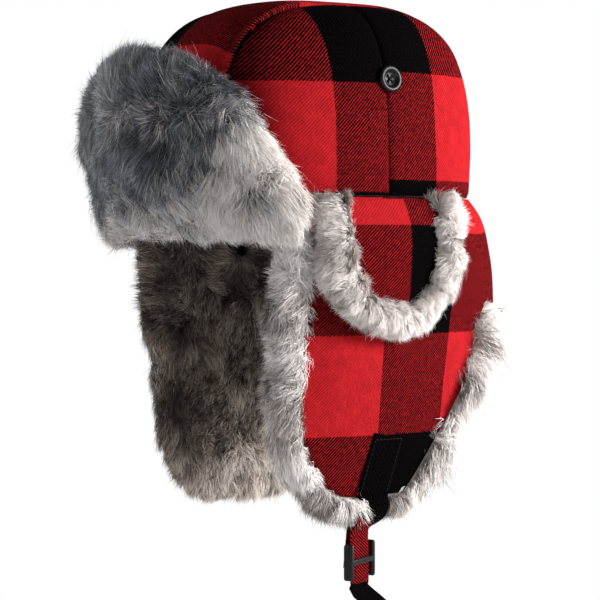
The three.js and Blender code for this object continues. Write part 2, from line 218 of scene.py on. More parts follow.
def ear_front(z, fringe):
    bottom = EAR_BOTTOM - fringe
    fall = np.clip((EAR_CORNER_START - z) / (EAR_CORNER_START - bottom), 0, 1)
    reach = EAR_BOTTOM_FRONT - EAR_FRONT + fringe
    return EAR_BOTTOM_FRONT - reach * np.sqrt(1 - fall * fall)


def ear_rear(z, fringe):
    bottom = EAR_BOTTOM - fringe
    fall = np.clip((EAR_SLOPE_START - z) / (EAR_SLOPE_START - bottom), 0, 1)
    return lerp(EAR_REAR, EAR_BOTTOM_REAR, fall**1.5)


def front_point(turn, rise, depth):
    """A point on the turned-up flap: turn from -1 to 1 across it, rise from 0 to 1 up it."""
    point, outward = seam(np.radians(-90 + FRONT_TURN * turn))
    height = FRONT_HEIGHT * (1 - np.abs(0.97 * turn) ** 2.2) ** 0.8
    lean = FRONT_LEAN * rise * height / FRONT_HEIGHT
    moved = point + outward * (FRONT_CLEARANCE + lean + depth)[..., None]
    moved[..., 2] = FRONT_BOTTOM + height * rise
    return moved


def dome_height(x, y, half_x, half_y, top):
    ratio = (np.abs(x / half_x) ** PLAN_POWER + np.abs(y / half_y) ** PLAN_POWER) ** (1 / PLAN_POWER)
    angle = np.arctan2(spow(y / half_y, PLAN_POWER / 2), spow(x / half_x, PLAN_POWER / 2) + 1e-12)
    power = DOME_POWER + DOME_POWER_CHANGE * np.sin(angle)
    return top * np.clip(1 - ratio**power, 0, 1) ** (1 / power)


def evenly(curve, count):
    """The same curve with count points spaced evenly along it."""
    steps = np.linalg.norm(np.diff(curve, axis=0), axis=1)
    along = np.concatenate([[0], np.cumsum(steps)])
    wanted = np.linspace(0, along[-1], count)
    return np.stack([np.interp(wanted, along, curve[:, i]) for i in range(3)], 1)


# ---------- Meshes ----------


def link(name, mesh):
    obj = bpy.data.objects.new(name, mesh)
    bpy.context.scene.collection.objects.link(obj)
    return obj


def mesh_object(name, points, faces, material, uv=None, uv_name="plaid"):
    mesh = bpy.data.meshes.new(name)
    mesh.from_pydata((np.asarray(points) * MM).tolist(), [], [list(map(int, f)) for f in faces])
    mesh.update()
    mesh.shade_smooth()
    if uv is not None:
        layer = mesh.uv_layers.new(name=uv_name)
        corner = np.zeros(len(mesh.loops), np.int32)
        mesh.loops.foreach_get("vertex_index", corner)
        layer.data.foreach_set("uv", np.asarray(uv)[corner].astype(np.float32).ravel())
    mesh.materials.append(material)
    return link(name, mesh)


def grid_normals(grid):
    along_u = np.gradient(grid, axis=0)
    along_v = np.gradient(grid, axis=1)
    return unit(np.cross(along_u, along_v))


def grid_faces(across, down, start, flip):
    i, j = np.meshgrid(np.arange(across), np.arange(down), indexing="ij")
    a = start + i * (down + 1) + j
    quads = np.stack([a, a + down + 1, a + down + 2, a + 1], -1).reshape(-1, 4)
    return quads[:, ::-1] if flip else quads


def rim_loop(across, down):
    first = [i * (down + 1) for i in range(across + 1)]
    last = [across * (down + 1) + j for j in range(1, down + 1)]
    back = [i * (down + 1) + down for i in range(across - 1, -1, -1)]
    home = [j for j in range(down - 1, 0, -1)]
    return np.array(first + last + back + home)


def closed_slab(inner, outer):
    """Points and faces of the closed slab between two grids of points of the same size."""
    across, down = outer.shape[0] - 1, outer.shape[1] - 1
    count = (across + 1) * (down + 1)
    points = np.concatenate([inner.reshape(-1, 3), outer.reshape(-1, 3)])
    centre = points.mean(0)
    loop = rim_loop(across, down)
    after = np.roll(loop, -1)
    rim = np.stack([loop, after, after + count, loop + count], -1)
    faces = np.concatenate([grid_faces(across, down, 0, True), grid_faces(across, down, count, False), rim])
    p = points[faces] - centre
    volume = np.einsum("ij,ij->", p[:, 0], np.cross(p[:, 1], p[:, 2]) + np.cross(p[:, 2], p[:, 3]))
    return points, (faces if volume > 0 else faces[:, ::-1])


def joined(*parts):
    """Several meshes' points and faces as one."""
    points, faces, count = [], [], 0
    for part_points, part_faces in parts:
        points.append(part_points)
        faces.append(np.asarray(part_faces) + count)
        count += len(part_points)
    return np.concatenate(points), np.concatenate(faces)


def flat_tube(path, half_width, half_depth, depth, sides=14):
    """A closed oval tube along a path of (y, z) laid flat on the curtain, pinched shut at both ends."""
    path = evenly(stack(path[:, 0], path[:, 1], 0), 90)[:, :2]
    ahead = unit(np.gradient(path, axis=0))
    across = np.stack([ahead[:, 1], -ahead[:, 0]], 1)
    turn = np.linspace(0, 2 * math.pi, sides, endpoint=False)
    share = np.linspace(0, 1, len(path))
    taper = np.sqrt(np.clip(1 - np.abs(2 * share - 1) ** 14, 0.001, 1))[:, None]
    y = path[:, :1] + across[:, :1] * half_width * np.cos(turn) * taper
    z = path[:, 1:] + across[:, 1:] * half_width * np.cos(turn) * taper
    points = curtain(seam_angle(y), z, depth + half_depth * np.sin(turn) * taper)
    i, j = np.meshgrid(np.arange(len(path) - 1), np.arange(sides), indexing="ij")
    a, b = i * sides + j, i * sides + (j + 1) % sides
    faces = np.stack([a, b, b + sides, a + sides], -1).reshape(-1, 4)
    flat = points.reshape(-1, 3)
    middle = np.repeat(points.mean(1), sides, axis=0)
    normal = np.cross(flat[faces[:, 1]] - flat[faces[:, 0]], flat[faces[:, 3]] - flat[faces[:, 0]])
    outward = np.einsum("ij,ij->", normal, flat[faces[:, 0]] - middle[faces[:, 0]])
    return flat, (faces if outward > 0 else faces[:, ::-1])


def uv_grid(across, down):
    return np.meshgrid(np.linspace(0, 1, across + 1), np.linspace(0, 1, down + 1), indexing="ij")


def without_port(points, faces):
    """Cuts the ear port through a closed slab, draws the cut onto the port's oval, and closes its wall."""
    half = len(points) // 2
    at = np.stack([points[:half, 1] / PORT_HALF_WIDTH, (points[:half, 2] - PORT_Z) / PORT_HALF_HEIGHT], -1)
    reach = np.tile(np.linalg.norm(at, axis=1), 2)
    kept = faces[(reach[faces] >= 0.86).any(1)]
    near = (reach > 0.5) & (reach < 1.0)
    near &= np.isin(np.arange(len(points)), kept)
    scale = np.where(near, 1 / np.maximum(reach, 1e-6), 1.0)
    points = points.copy()
    points[:, 1] *= scale
    points[:, 2] = PORT_Z + (points[:, 2] - PORT_Z) * scale
    edges = {(int(a), int(b)) for face in kept for a, b in zip(face, np.roll(face, -1))}
    cut = [(a, b) for a, b in sorted(edges) if (b, a) not in edges and b < half]
    wall = [(b, a, a + half, b + half) for a, b in cut]
    return points, np.concatenate([kept, np.array(wall)])


# ---------- Materials ----------


def srgb(code):
    """A linear colour from a web colour."""
    parts = [int(code[i : i + 2], 16) / 255 for i in (1, 3, 5)]
    return tuple(c / 12.92 if c <= 0.04045 else ((c + 0.055) / 1.055) ** 2.4 for c in parts) + (1.0,)


class Tree:
    """A new material's node tree, with short ways to add nodes and links."""

    def __init__(self, name, roughness):
        self.material = bpy.data.materials.new(name)
        self.material.use_nodes = True
        self.tree = self.material.node_tree
        self.shader = self.tree.nodes["Principled BSDF"]
        self.shader.inputs["Roughness"].default_value = roughness

    def add(self, kind, **settings):
        made = self.tree.nodes.new("ShaderNode" + kind)
        for key, value in settings.items():
            setattr(made, key, value)
        return made

    def join(self, source, target):
        self.tree.links.new(source, target)
        return target

    def feed(self, socket, value):
        if isinstance(value, bpy.types.NodeSocket):
            self.join(value, socket)
        else:
            socket.default_value = value

    def math(self, operation, *values):
        made = self.add("Math", operation=operation)
        for socket, value in zip(made.inputs, values):
            self.feed(socket, value)
        return made.outputs[0]

    def mix(self, factor, a, b, blend="MIX"):
        made = self.add("Mix", data_type="RGBA", blend_type=blend)
        self.feed(made.inputs["Factor"], factor)
        self.feed(made.inputs["A"], a)
        self.feed(made.inputs["B"], b)
        return made.outputs["Result"]

    def noise(self, vector, scale, detail=2.0):
        made = self.add("TexNoise")
        if vector is not None:
            self.join(vector, made.inputs["Vector"])
        made.inputs["Scale"].default_value = scale
        made.inputs["Detail"].default_value = detail
        return made.outputs["Fac"]

    def ramp(self, factor, stops):
        made = self.add("ValToRGB")
        while len(made.color_ramp.elements) < len(stops):
            made.color_ramp.elements.new(0.5)
        for element, (place, colour) in zip(made.color_ramp.elements, stops):
            element.position = place
            element.color = colour
        self.join(factor, made.inputs[0])
        return made.outputs["Color"]

    def bump(self, height, distance, strength=1.0):
        made = self.add("Bump")
        made.inputs["Distance"].default_value = distance
        made.inputs["Strength"].default_value = strength
        self.join(height, made.inputs["Height"])
        return self.join(made.outputs["Normal"], self.shader.inputs["Normal"])

    def colour(self, value):
        self.feed(self.shader.inputs["Base Color"], value)


RED = srgb("#c8252b")
RED_DEEP = srgb("#86141a")
BLACK = srgb("#030203")
BLACK_WORN = srgb("#120e0e")


def plaid_material(name, twill_pitch=2.2):
    """Red and black checks of brushed twill. The map holds metres along the warp and the weft."""
    t = Tree(name, 1.0)
    t.shader.inputs["Specular IOR Level"].default_value = 0.02
    uv = t.add("UVMap", uv_map="plaid").outputs["UV"]
    fuzz = t.noise(uv, 1100.0, 4.0)
    pile = t.noise(uv, 420.0, 5.0)
    mottle = t.noise(uv, 130.0, 5.0)
    split = t.add("SeparateXYZ")
    t.join(uv, split.inputs[0])
    wander = t.math("MULTIPLY", t.math("SUBTRACT", fuzz, 0.5), 0.0034)
    across = t.math("ADD", split.outputs[0], wander)
    up = t.math("ADD", split.outputs[1], wander)

    def stripe(value):
        phase = t.math("FLOORED_MODULO", value, 2 * CHECK * MM)
        return t.math("LESS_THAN", phase, CHECK * MM)

    def between(value, low, high):
        made = t.add("MapRange")
        t.join(value, made.inputs["Value"])
        made.inputs["From Min"].default_value = low
        made.inputs["From Max"].default_value = high
        return made.outputs["Result"]

    diagonal = t.math("SUBTRACT", split.outputs[0], split.outputs[1])
    wandering = t.math("ADD", diagonal, t.math("MULTIPLY", wander, 0.25))
    phase = t.math("FLOORED_MODULO", wandering, twill_pitch * MM)
    wave = t.math("ABSOLUTE", t.math("SUBTRACT", t.math("DIVIDE", phase, twill_pitch * MM), 0.5))
    broken = t.math("ADD", wave, t.math("MULTIPLY", t.math("SUBTRACT", pile, 0.5), 0.55))
    line = between(broken, 0.26, 0.38)
    warp, weft = stripe(across), stripe(up)
    both = t.math("MULTIPLY", warp, weft)
    mixed = t.math("SUBTRACT", t.math("ADD", warp, weft), t.math("MULTIPLY", both, 2.0))
    share = t.math("ADD", both, t.math("MULTIPLY", mixed, t.math("MULTIPLY", line, 0.68)))
    red = t.mix(t.math("MULTIPLY", between(mottle, 0.35, 0.75), 0.45), RED, RED_DEEP)
    # Painted shade: the red deepens along the twill's grooves, where the bump height is lowest.
    red = t.mix(t.math("MULTIPLY", t.math("SUBTRACT", 1.0, line), 0.3), red, RED_DEEP)
    red = t.mix(between(fuzz, 0.62, 0.82), red, BLACK_WORN)
    black = t.mix(between(fuzz, 0.45, 0.75), BLACK, BLACK_WORN)
    t.colour(t.mix(share, black, red))
    fibre = t.noise(uv, 2600.0, 2.0)
    ribs = t.math("MULTIPLY", wave, 1.3)
    height = t.math("ADD", ribs, t.math("ADD", t.math("MULTIPLY", pile, 1.8), t.math("MULTIPLY", fibre, 0.8)))
    t.bump(height, 0.0006, 0.9)
    return t.material


def fur_material(name, root, middle, tip):
    """Each strand's map holds its tint across and its root-to-tip place up."""
    t = Tree(name, 0.55)
    t.shader.inputs["Specular IOR Level"].default_value = 0.25
    t.shader.inputs["Sheen Weight"].default_value = 0.1
    uv = t.add("UVMap", uv_map="OFBake").outputs["UV"]
    split = t.add("SeparateXYZ")
    t.join(uv, split.inputs[0])
    tint, along = split.outputs[0], split.outputs[1]
    places = (0.05, 0.5, 0.95)
    low, half, high = (t.ramp(tint, list(zip(places, map(srgb, codes)))) for codes in (root, middle, tip))

    def rise(start, end):
        made = t.add("MapRange")
        t.join(along, made.inputs["Value"])
        made.inputs["From Min"].default_value = start
        made.inputs["From Max"].default_value = end
        return made.outputs["Result"]

    t.colour(t.mix(rise(0.6, 0.95), t.mix(rise(0.15, 0.62), low, half), high))
    return t.material


def pelt_material(name, dark, light):
    t = Tree(name, 0.95)
    place = t.add("TexCoord").outputs["Object"]
    fine = t.noise(place, 700.0, 3.0)
    patch = t.noise(place, 30.0, 2.0)
    share = t.math("MULTIPLY", fine, patch)
    t.colour(t.ramp(share, [(0.12, srgb(dark)), (0.5, srgb(light))]))
    t.bump(fine, 0.001, 0.8)
    return t.material


def cloth_material(name, colour, worn, roughness, scale, depth, sheen=0.1):
    t = Tree(name, roughness)
    t.shader.inputs["Sheen Weight"].default_value = sheen
    place = t.add("TexCoord").outputs["Object"]
    grain = t.noise(place, scale, 3.0)
    t.colour(t.mix(grain, srgb(colour), srgb(worn)))
    t.bump(grain, depth, 0.6)
    return t.material


def plastic_material(name, colour, worn, roughness):
    t = Tree(name, roughness)
    t.shader.inputs["Specular IOR Level"].default_value = 0.3
    place = t.add("TexCoord").outputs["Object"]
    scuff = t.noise(place, 90.0, 5.0)
    grain = t.noise(place, 2500.0, 1.0)
    t.colour(t.mix(scuff, srgb(colour), srgb(worn)))
    spread = t.add("MapRange")
    t.join(scuff, spread.inputs["Value"])
    spread.inputs["To Min"].default_value = roughness - 0.1
    spread.inputs["To Max"].default_value = roughness + 0.15
    t.join(spread.outputs["Result"], t.shader.inputs["Roughness"])
    t.bump(grain, 0.00005, 0.5)
    return t.material


PLAID = plaid_material("plaid_wool")
STRAP_PLAID = plaid_material("strap_plaid", 3.4)
LINING = cloth_material("quilted_satin", "#0d0d10", "#1c1c22", 0.38, 900.0, 0.0002, 0.3)
WADDING = cloth_material("wadding", "#d8d6d0", "#f0eee8", 1.0, 500.0, 0.001)
THREAD = cloth_material("thread", "#050505", "#101011", 0.9, 3000.0, 0.0001, 0.0)
PLASTIC = plastic_material("black_plastic", "#060607", "#141416", 0.42)
PALE_FLOOR = cloth_material("pale_floor", "#e9e9e9", "#efefef", 0.9, 20.0, 0.0001, 0.0)
FRONT_FUR = fur_material(
    "front_fur",
    ("#030405", "#1c1c1f", "#a79c96"),
    ("#101319", "#4c4c53", "#e8ded8"),
    ("#5a6374", "#b4b7c0", "#fffdfb"),
)
LIGHT_FUR = fur_material(
    "light_fur",
    ("#2e2725", "#978c87", "#efe6e1"),
    ("#625751", "#cbc1bc", "#fdf7f3"),
    ("#a89d97", "#f0e8e4", "#ffffff"),
)
DARK_FUR = fur_material(
    "dark_fur",
    ("#120d0b", "#4a3b33", "#b3a498"),
    ("#2c221d", "#806d61", "#d8cbbf"),
    ("#665850", "#d2c3b6", "#f6ede4"),
)
WHITE_FUR = fur_material(
    "white_fur",
    ("#6f6662", "#a59b96", "#d5cbc6"),
    ("#9a908b", "#d0c6c1", "#efe6e2"),
    ("#c4bab6", "#eee6e2", "#fffbf9"),
)
DARK_PELT = pelt_material("dark_pelt", "#1a1411", "#5a4a40")
GREY_PELT = pelt_material("grey_pelt", "#15161a", "#4a4a50")
LIGHT_PELT = pelt_material("light_pelt", "#8a807b", "#d8cdc8")
WHITE_PELT = pelt_material("white_pelt", "#968c88", "#d9d0cb")

# ---------- Weights between the bodies, and baked places ---


def ear_weight(points):
    """0 at the crown seam and at the join with the neck flap, rising to 1 down in the flap."""
    plan_y = points[:, 1] / CROWN_Y
    behind = np.arctan2(spow(plan_y, 1.2), spow(np.abs(points[:, 0]) / CROWN_X, 1.2))
    from_join = seam_angle(EAR_REAR) - behind
    return smooth(-points[:, 2], 1, 34) * smooth(from_join, 0, math.radians(18))


def neck_weight(points):
    behind = np.arctan2(spow(points[:, 1] / CROWN_Y, 1.2), spow(np.abs(points[:, 0]) / CROWN_X, 1.2))
    return smooth(-points[:, 2], 1, 30) * smooth(behind, seam_angle(EAR_REAR), seam_angle(EAR_REAR) + 0.33)


def front_weight(points):
    """0 at the crown seam, 1 from the bottom of the roll outwards."""
    _, outward = seam(np.arctan2(points[:, 1] / CROWN_Y, points[:, 0] / CROWN_X))
    on_seam = seam(np.arctan2(spow(points[:, 1] / CROWN_Y, 1.2), spow(points[:, 0] / CROWN_X, 1.2)))[0]
    out = np.einsum("ij,ij->i", points * [1, 1, 0] - on_seam, outward)
    return smooth(out, -2.5, FRONT_CLEARANCE - 0.5)


def cover_weight(points):
    return smooth(-points[:, 2], 1, 14)


def follow(obj, weights):
    """Bakes obj's place into its mesh; the weights are not used."""
    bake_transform(obj)
    return obj


# ---------- Fur ----------

STRAND_POINTS = 5


def clump_cells(points, size, seed):
    """The number of the nearest scattered centre for each point."""
    base = np.floor(points / size)
    best = np.full(len(points), 1e9)
    found = np.zeros(len(points))
    for offset in np.ndindex(3, 3, 3):
        cell = base + np.array(offset) - 1
        centre = (cell + stack(*(hashed(cell, seed + i) for i in range(3)))) * size
        away = np.linalg.norm(points - centre, axis=1)
        nearer = away < best
        best = np.where(nearer, away, best)
        found = np.where(nearer, hashed(cell, seed + 7), found)
    return found


def sample_mesh(points, faces, normals, count, density, rng):
    """Random places on a mesh of quads, with their normals."""
    corners = points[faces]
    area = np.linalg.norm(np.cross(corners[:, 2] - corners[:, 0], corners[:, 3] - corners[:, 1]), axis=1) / 2
    middle = corners.mean(1)
    weight = area * density(middle, unit(normals[faces].mean(1)))
    pick = rng.choice(len(faces), count, p=weight / weight.sum())
    a, b = rng.random((2, count, 1))

    def at(values):
        q = values[faces[pick]]
        return lerp(lerp(q[:, 0], q[:, 1], a), lerp(q[:, 3], q[:, 2], a), b)

    return at(points), unit(at(normals))


def strands(
    name, root, normal, comb, length, width, lift, tint, material, rng, clump=4.5, gather=0.55, unruly=0.3
):
    """One mesh of tapered, bent strands. comb is each strand's way along the skin."""
    count = len(root)
    _, tuft = np.unique(clump_cells(root, clump * 2.6, 57), return_inverse=True)
    _, cell = np.unique(clump_cells(root, clump, 31), return_inverse=True)
    tufts, cells = tuft.max() + 1, cell.max() + 1
    comb = comb + rng.normal(0, unruly, (tufts, 3))[tuft] + rng.normal(0, unruly * 0.8, (cells, 3))[cell]
    length = length * rng.uniform(0.82, 1.15, tufts)[tuft] * rng.uniform(0.88, 1.1, cells)[cell]
    tint = tint + rng.normal(0, 0.09, tufts)[tuft] + rng.normal(0, 0.11, cells)[cell]
    stand = np.clip(lift + rng.normal(0, 0.1, tufts)[tuft], 0.12, 0.85)[:, None]
    along = unit(comb - normal * np.einsum("ij,ij->i", comb, normal)[:, None])
    jitter = rng.normal(0, 0.17, (count, 3))
    first = unit(normal * (stand + 0.25) + along * (1 - stand) + jitter)
    second = unit(normal * stand * 0.5 + along + jitter + rng.normal(0, 0.14, (count, 3)))
    reach = length[:, None]
    middle = root + first * reach * 0.5
    tip = middle + second * reach * 0.5

    def centre(values, group):
        share = np.bincount(group).astype(float)
        return np.stack([np.bincount(group, values[:, i]) / share for i in range(3)], 1)[group]

    pull = gather * rng.uniform(0.35, 1.1, (count, 1))
    tip = lerp(tip, centre(tip, cell), pull)
    tip = lerp(tip, centre(tip, tuft), pull * 0.3)
    middle = lerp(middle, centre(middle, cell), pull * 0.3)
    way = unit(tip - root)
    side = unit(np.cross(way, normal) + rng.normal(0, 0.25, (count, 3)))
    half = width[:, None] / 2
    points = np.empty((count, STRAND_POINTS, 3))
    points[:, 0] = root - side * half * 0.8
    points[:, 1] = root + side * half * 0.8
    points[:, 2] = middle - side * half
    points[:, 3] = middle + side * half
    points[:, 4] = tip
    mesh = bpy.data.meshes.new(name)
    mesh.vertices.add(count * STRAND_POINTS)
    mesh.vertices.foreach_set("co", (points * MM).astype(np.float32).ravel())
    start = np.arange(count)[:, None] * STRAND_POINTS
    corner = (start + np.array([0, 1, 3, 2, 2, 3, 4])).ravel()
    mesh.loops.add(len(corner))
    mesh.loops.foreach_set("vertex_index", corner.astype(np.int32))
    mesh.polygons.add(count * 2)
    loop_start = (np.arange(count)[:, None] * 7 + np.array([0, 4])).ravel()
    mesh.polygons.foreach_set("loop_start", loop_start.astype(np.int32))
    mesh.update(calc_edges=True)
    layer = mesh.uv_layers.new(name="OFBake")
    column = np.clip(tint, 0.03, 0.97)[:, None] + np.array([-1, 1, 1, -1, -1, 1, 0]) * 0.02
    row = np.broadcast_to(np.array([0.02, 0.02, 0.5, 0.5, 0.5, 0.5, 0.98]), (count, 7))
    layer.data.foreach_set("uv", np.stack([column, row], -1).astype(np.float32).ravel())
    mesh.shade_smooth()
    across_hair = unit(normal - way * np.einsum("ij,ij->i", way, normal)[:, None])
    soft = unit(0.5 * normal + 0.6 * across_hair + 0.25 * way + rng.normal(0, 0.2, (count, 3)))
    mesh.normals_split_custom_set_from_vertices(np.repeat(soft, STRAND_POINTS, axis=0).tolist())
    mesh.materials.append(material)
    return link(name, mesh)


def fur_coat(name, pelt, count, settings, attach, node, seed):
    """Strands over a pelt. settings holds functions of the roots and their normals."""
    points, faces = pelt
    mesh_normals = np.zeros_like(points)
    corners = points[faces]
    face_normal = np.cross(corners[:, 2] - corners[:, 0], corners[:, 3] - corners[:, 1])
    for k in range(4):
        np.add.at(mesh_normals, faces[:, k], face_normal)
    mesh_normals = unit(mesh_normals)
    rng = np.random.default_rng(seed)
    thin = 1
    total = count // thin
    root, normal = sample_mesh(points, faces, mesh_normals, total, settings["density"], rng)
    length = settings["length"](root, normal) * rng.uniform(0.7, 1.1, total)
    length *= np.where(rng.random(total) < 0.05, 1.3, 1.0)
    width = rng.uniform(0.22, 0.42, total) * 1.0
    tint = settings["tint"](root, normal) + rng.normal(0, settings.get("speckle", 0.25), total)
    comb = settings["comb"](root, normal)
    pieces = max(1, math.ceil(total / HAIRS_PER_PIECE))
    order = np.array_split(np.arange(total), pieces)
    for number, part in enumerate(order, 1):
        label = name if pieces == 1 else f"{name}_{number}"
        coat = strands(
            label, root[part], normal[part], comb[part], length[part], width[part],
            settings["lift"], tint[part], settings["material"], rng,
            settings.get("clump", 4.5), settings.get("gather", 0.55), settings.get("unruly", 0.3),
        )
        attach(coat, root[part], STRAND_POINTS)
        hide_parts(node)


def mirror(points, faces, side):
    if side > 0:
        return points, faces
    return points * [-1, 1, 1], faces[:, ::-1]


# ---------- Crown ----------


def panel_shape(grid, seam_distance, seed):
    """Puffs a panel's grid between its seams, pinches it at them, and adds slack to the cloth."""
    normal = grid_normals(grid)
    if np.einsum("ijk,ijk->", normal, grid) < 0:
        normal = -normal
    puff = 1.1 * (1 - np.exp(-seam_distance / 14)) - 1.0 * np.exp(-((seam_distance / 2.2) ** 2))
    slack = 0.9 * noise(grid, 46, seed) + 0.35 * noise(grid, 17, seed + 5)
    low = smooth(-grid[..., 2], -42, -4)
    slack += low * (1.5 * noise(grid * [1.0, 1.0, 1.5], 24, seed + 9) + 0.6)
    slack = slack * (1 - np.exp(-seam_distance / 10))
    outer = grid + normal * (puff + slack)[..., None]
    thickness = 0.9 + 0.7 * (1 - np.exp(-seam_distance / 3))
    return outer - normal * thickness[..., None], outer


def panel_object(name, grid, seam_distance, uv, seed, ridge=0.0):
    inner, outer = panel_shape(grid, seam_distance, seed)
    lifted = grid_normals(grid)
    lifted *= np.sign(np.einsum("ijk,ijk->", lifted, grid))
    outer = outer + lifted * np.broadcast_to(ridge, seam_distance.shape)[..., None]
    points, faces = closed_slab(inner, outer)
    flat = uv.reshape(-1, 2)
    obj = mesh_object(name + "_wool", points, faces, PLAID, np.concatenate([flat, flat]) * MM)
    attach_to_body(obj, "crown")
    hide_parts(name)


def grid_lengths(grid, axis):
    steps = np.linalg.norm(np.diff(grid, axis=axis), axis=-1)
    pad = [(0, 0), (0, 0)]
    pad[axis] = (1, 0)
    return np.cumsum(np.pad(steps, pad), axis=axis)


def edge_distance(along):
    return np.minimum(along, along[..., -1:] - along)


def centre_panel():
    columns, rows = ((64, 300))
    dense = np.sin(np.linspace(-math.pi / 2, math.pi / 2, 1200))
    lines = []
    for x in np.linspace(-CENTRE_HALF, CENTRE_HALF, columns):
        reach = CROWN_Y * (1 - abs(x / CROWN_X) ** PLAN_POWER) ** (1 / PLAN_POWER)
        y = reach * dense
        z = dome_height(x, y, CROWN_X, CROWN_Y, CROWN_Z)
        lines.append(evenly(stack(x, y, z), rows))
    grid = np.array(lines)
    across = grid_lengths(grid, 0)
    along = grid_lengths(grid, 1)
    side_edge = np.minimum(across, across[-1:] - across)
    distance = np.minimum(side_edge, edge_distance(along))
    middle = along - along[:, -1:] / 2
    uv = np.stack([across - 28, middle + 40], -1)
    ridge = 4.4 * np.exp(-(((side_edge - 1.4) / 2.6) ** 2)) * smooth(-grid[..., 1], 15, 50)
    folds = (
        1.8 * noise(grid * [1.0, 2.2, 1.6], 30, 13)
        * smooth(-grid[..., 1], 50, 95) * smooth(side_edge, 3, 14)
    )
    panel_object("crown_centre_panel", grid, distance, uv, 11, ridge + folds)


def side_panel(side_name, side, end_name, end):
    columns, rows = ((110, 130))
    limit = math.acos((CENTRE_HALF / CROWN_X) ** (PLAN_POWER / 2)) - 0.004
    lines = []
    for angle in np.linspace(0, limit, columns):
        plan_x = CROWN_X * math.cos(angle) ** (2 / PLAN_POWER)
        plan_y = CROWN_Y * math.sin(angle) ** (2 / PLAN_POWER)
        inner = CENTRE_HALF / plan_x
        ratio = 1 - (1 - inner) * (1 - np.linspace(0, 1, 500)) ** 3
        x, y = ratio * plan_x, ratio * plan_y * end
        z = dome_height(x, y, CROWN_X, CROWN_Y, CROWN_Z)
        lines.append(evenly(stack(x, y, z), rows))
    grid = np.array(lines)
    along = grid_lengths(grid, 1)
    to_middle = np.abs(grid[..., 1])
    distance = np.minimum(np.minimum(along, along[:, -1:] - along), to_middle)
    height = along[:, -1:] - along
    shift_y, shift_z = (104, -2) if end < 0 else (-40, -9.5)
    uv = np.stack([grid[..., 1] + shift_y, height * 0.93 + shift_z], -1)
    grid[..., 0] *= side
    panel_object(f"crown_side_{side_name}_{end_name}", grid, distance, uv, 21 + 3 * side + end)


def lining_dome():
    """The quilted lining: a dome with diamond cushions."""
    columns, rows = ((220, 130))
    angles = np.linspace(0, 2 * math.pi, columns + 1)[:-1]
    ratio = 1 - (1 - np.linspace(0, 1, 400)) ** 3
    lines = []
    for angle in angles:
        x = LINING_X * spow(math.cos(angle), 2 / PLAN_POWER) * ratio
        y = LINING_Y * spow(math.sin(angle), 2 / PLAN_POWER) * ratio
        z = dome_height(x, y, LINING_X, LINING_Y, LINING_Z)
        lines.append(evenly(stack(x, y, z), rows))
    grid = np.array(lines)
    closed = np.concatenate([grid[-1:], grid, grid[:1]])
    normal = grid_normals(closed)[1:-1]
    if np.einsum("ijk,ijk->", normal, grid) < 0:
        normal = -normal
    around = angles[:, None] * 88
    down = grid_lengths(grid, 1)
    diamond = np.abs(np.sin((around + down) * math.pi / 34)) * np.abs(np.sin((around - down) * math.pi / 34))
    inner = grid - normal * (1.2 + 2.2 * np.sqrt(diamond))[..., None]
    points = np.concatenate([inner.reshape(-1, 3), (grid - normal * 0.3).reshape(-1, 3)])
    count = columns * rows
    i, j = np.meshgrid(np.arange(columns), np.arange(rows - 1), indexing="ij")
    a = i * rows + j
    b = ((i + 1) % columns) * rows + j
    inside = np.stack([a, a + 1, b + 1, b], -1).reshape(-1, 4)
    outside = inside[:, ::-1] + count
    last = np.arange(columns) * rows + rows - 1
    after = np.roll(last, -1)
    rim = np.stack([last, last + count, after + count, after], -1)
    obj = mesh_object("crown_quilted_lining", points, np.concatenate([inside, outside, rim]), LINING)
    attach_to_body(obj, "crown")
    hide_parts("crown_lining")


# ---------- Curtain ----------


def hem(u, v):
    """How thick the cloth is at its edges: 1 inside, less at the rolled hem."""
    edge = np.minimum(np.minimum(u, 1 - u), 1 - v)
    return 0.35 + 0.65 * np.sqrt(smooth(edge, 0, 0.035))


def ear_wool(side_name, side):
    across, down = ((96, 130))
    u, v = uv_grid(across, down)
    z = lerp(CURTAIN_TOP, EAR_BOTTOM, v)
    y = lerp(ear_front(z, 0), ear_rear(z, 0) + 0.6, u)
    angle = seam_angle(y)
    flat = stack(y, z, 0)
    slack = 1.5 * noise(flat, 52, 61) + 0.5 * noise(flat, 20, 62)
    edge = np.minimum(np.minimum(y - ear_front(z, 0), (1 - v) * 190), -z)
    slack *= smooth(edge, 0, 25)
    slack += 1.2 * smooth(-z, 0, 14) - 1.2
    thick = hem(u, v)
    outer = curtain(angle, z, slack + 0.4 * thick)
    inner = curtain(angle, z, slack - 1.8 * thick)
    points, faces = closed_slab(inner, outer)
    points, faces = without_port(points, faces)
    column = np.where(y > -6, (y + 6) * 64 / 57 - 6, y)
    warp = np.stack([column + 70, z + 24], -1).reshape(-1, 2)
    points, faces = mirror(points, faces, side)
    name = f"ear_flap_{side_name}"
    obj = mesh_object(name + "_wool", points, faces, PLAID, np.concatenate([warp, warp]) * MM)
    follow(obj, ear_weight(points))
    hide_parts(name + "_shell")


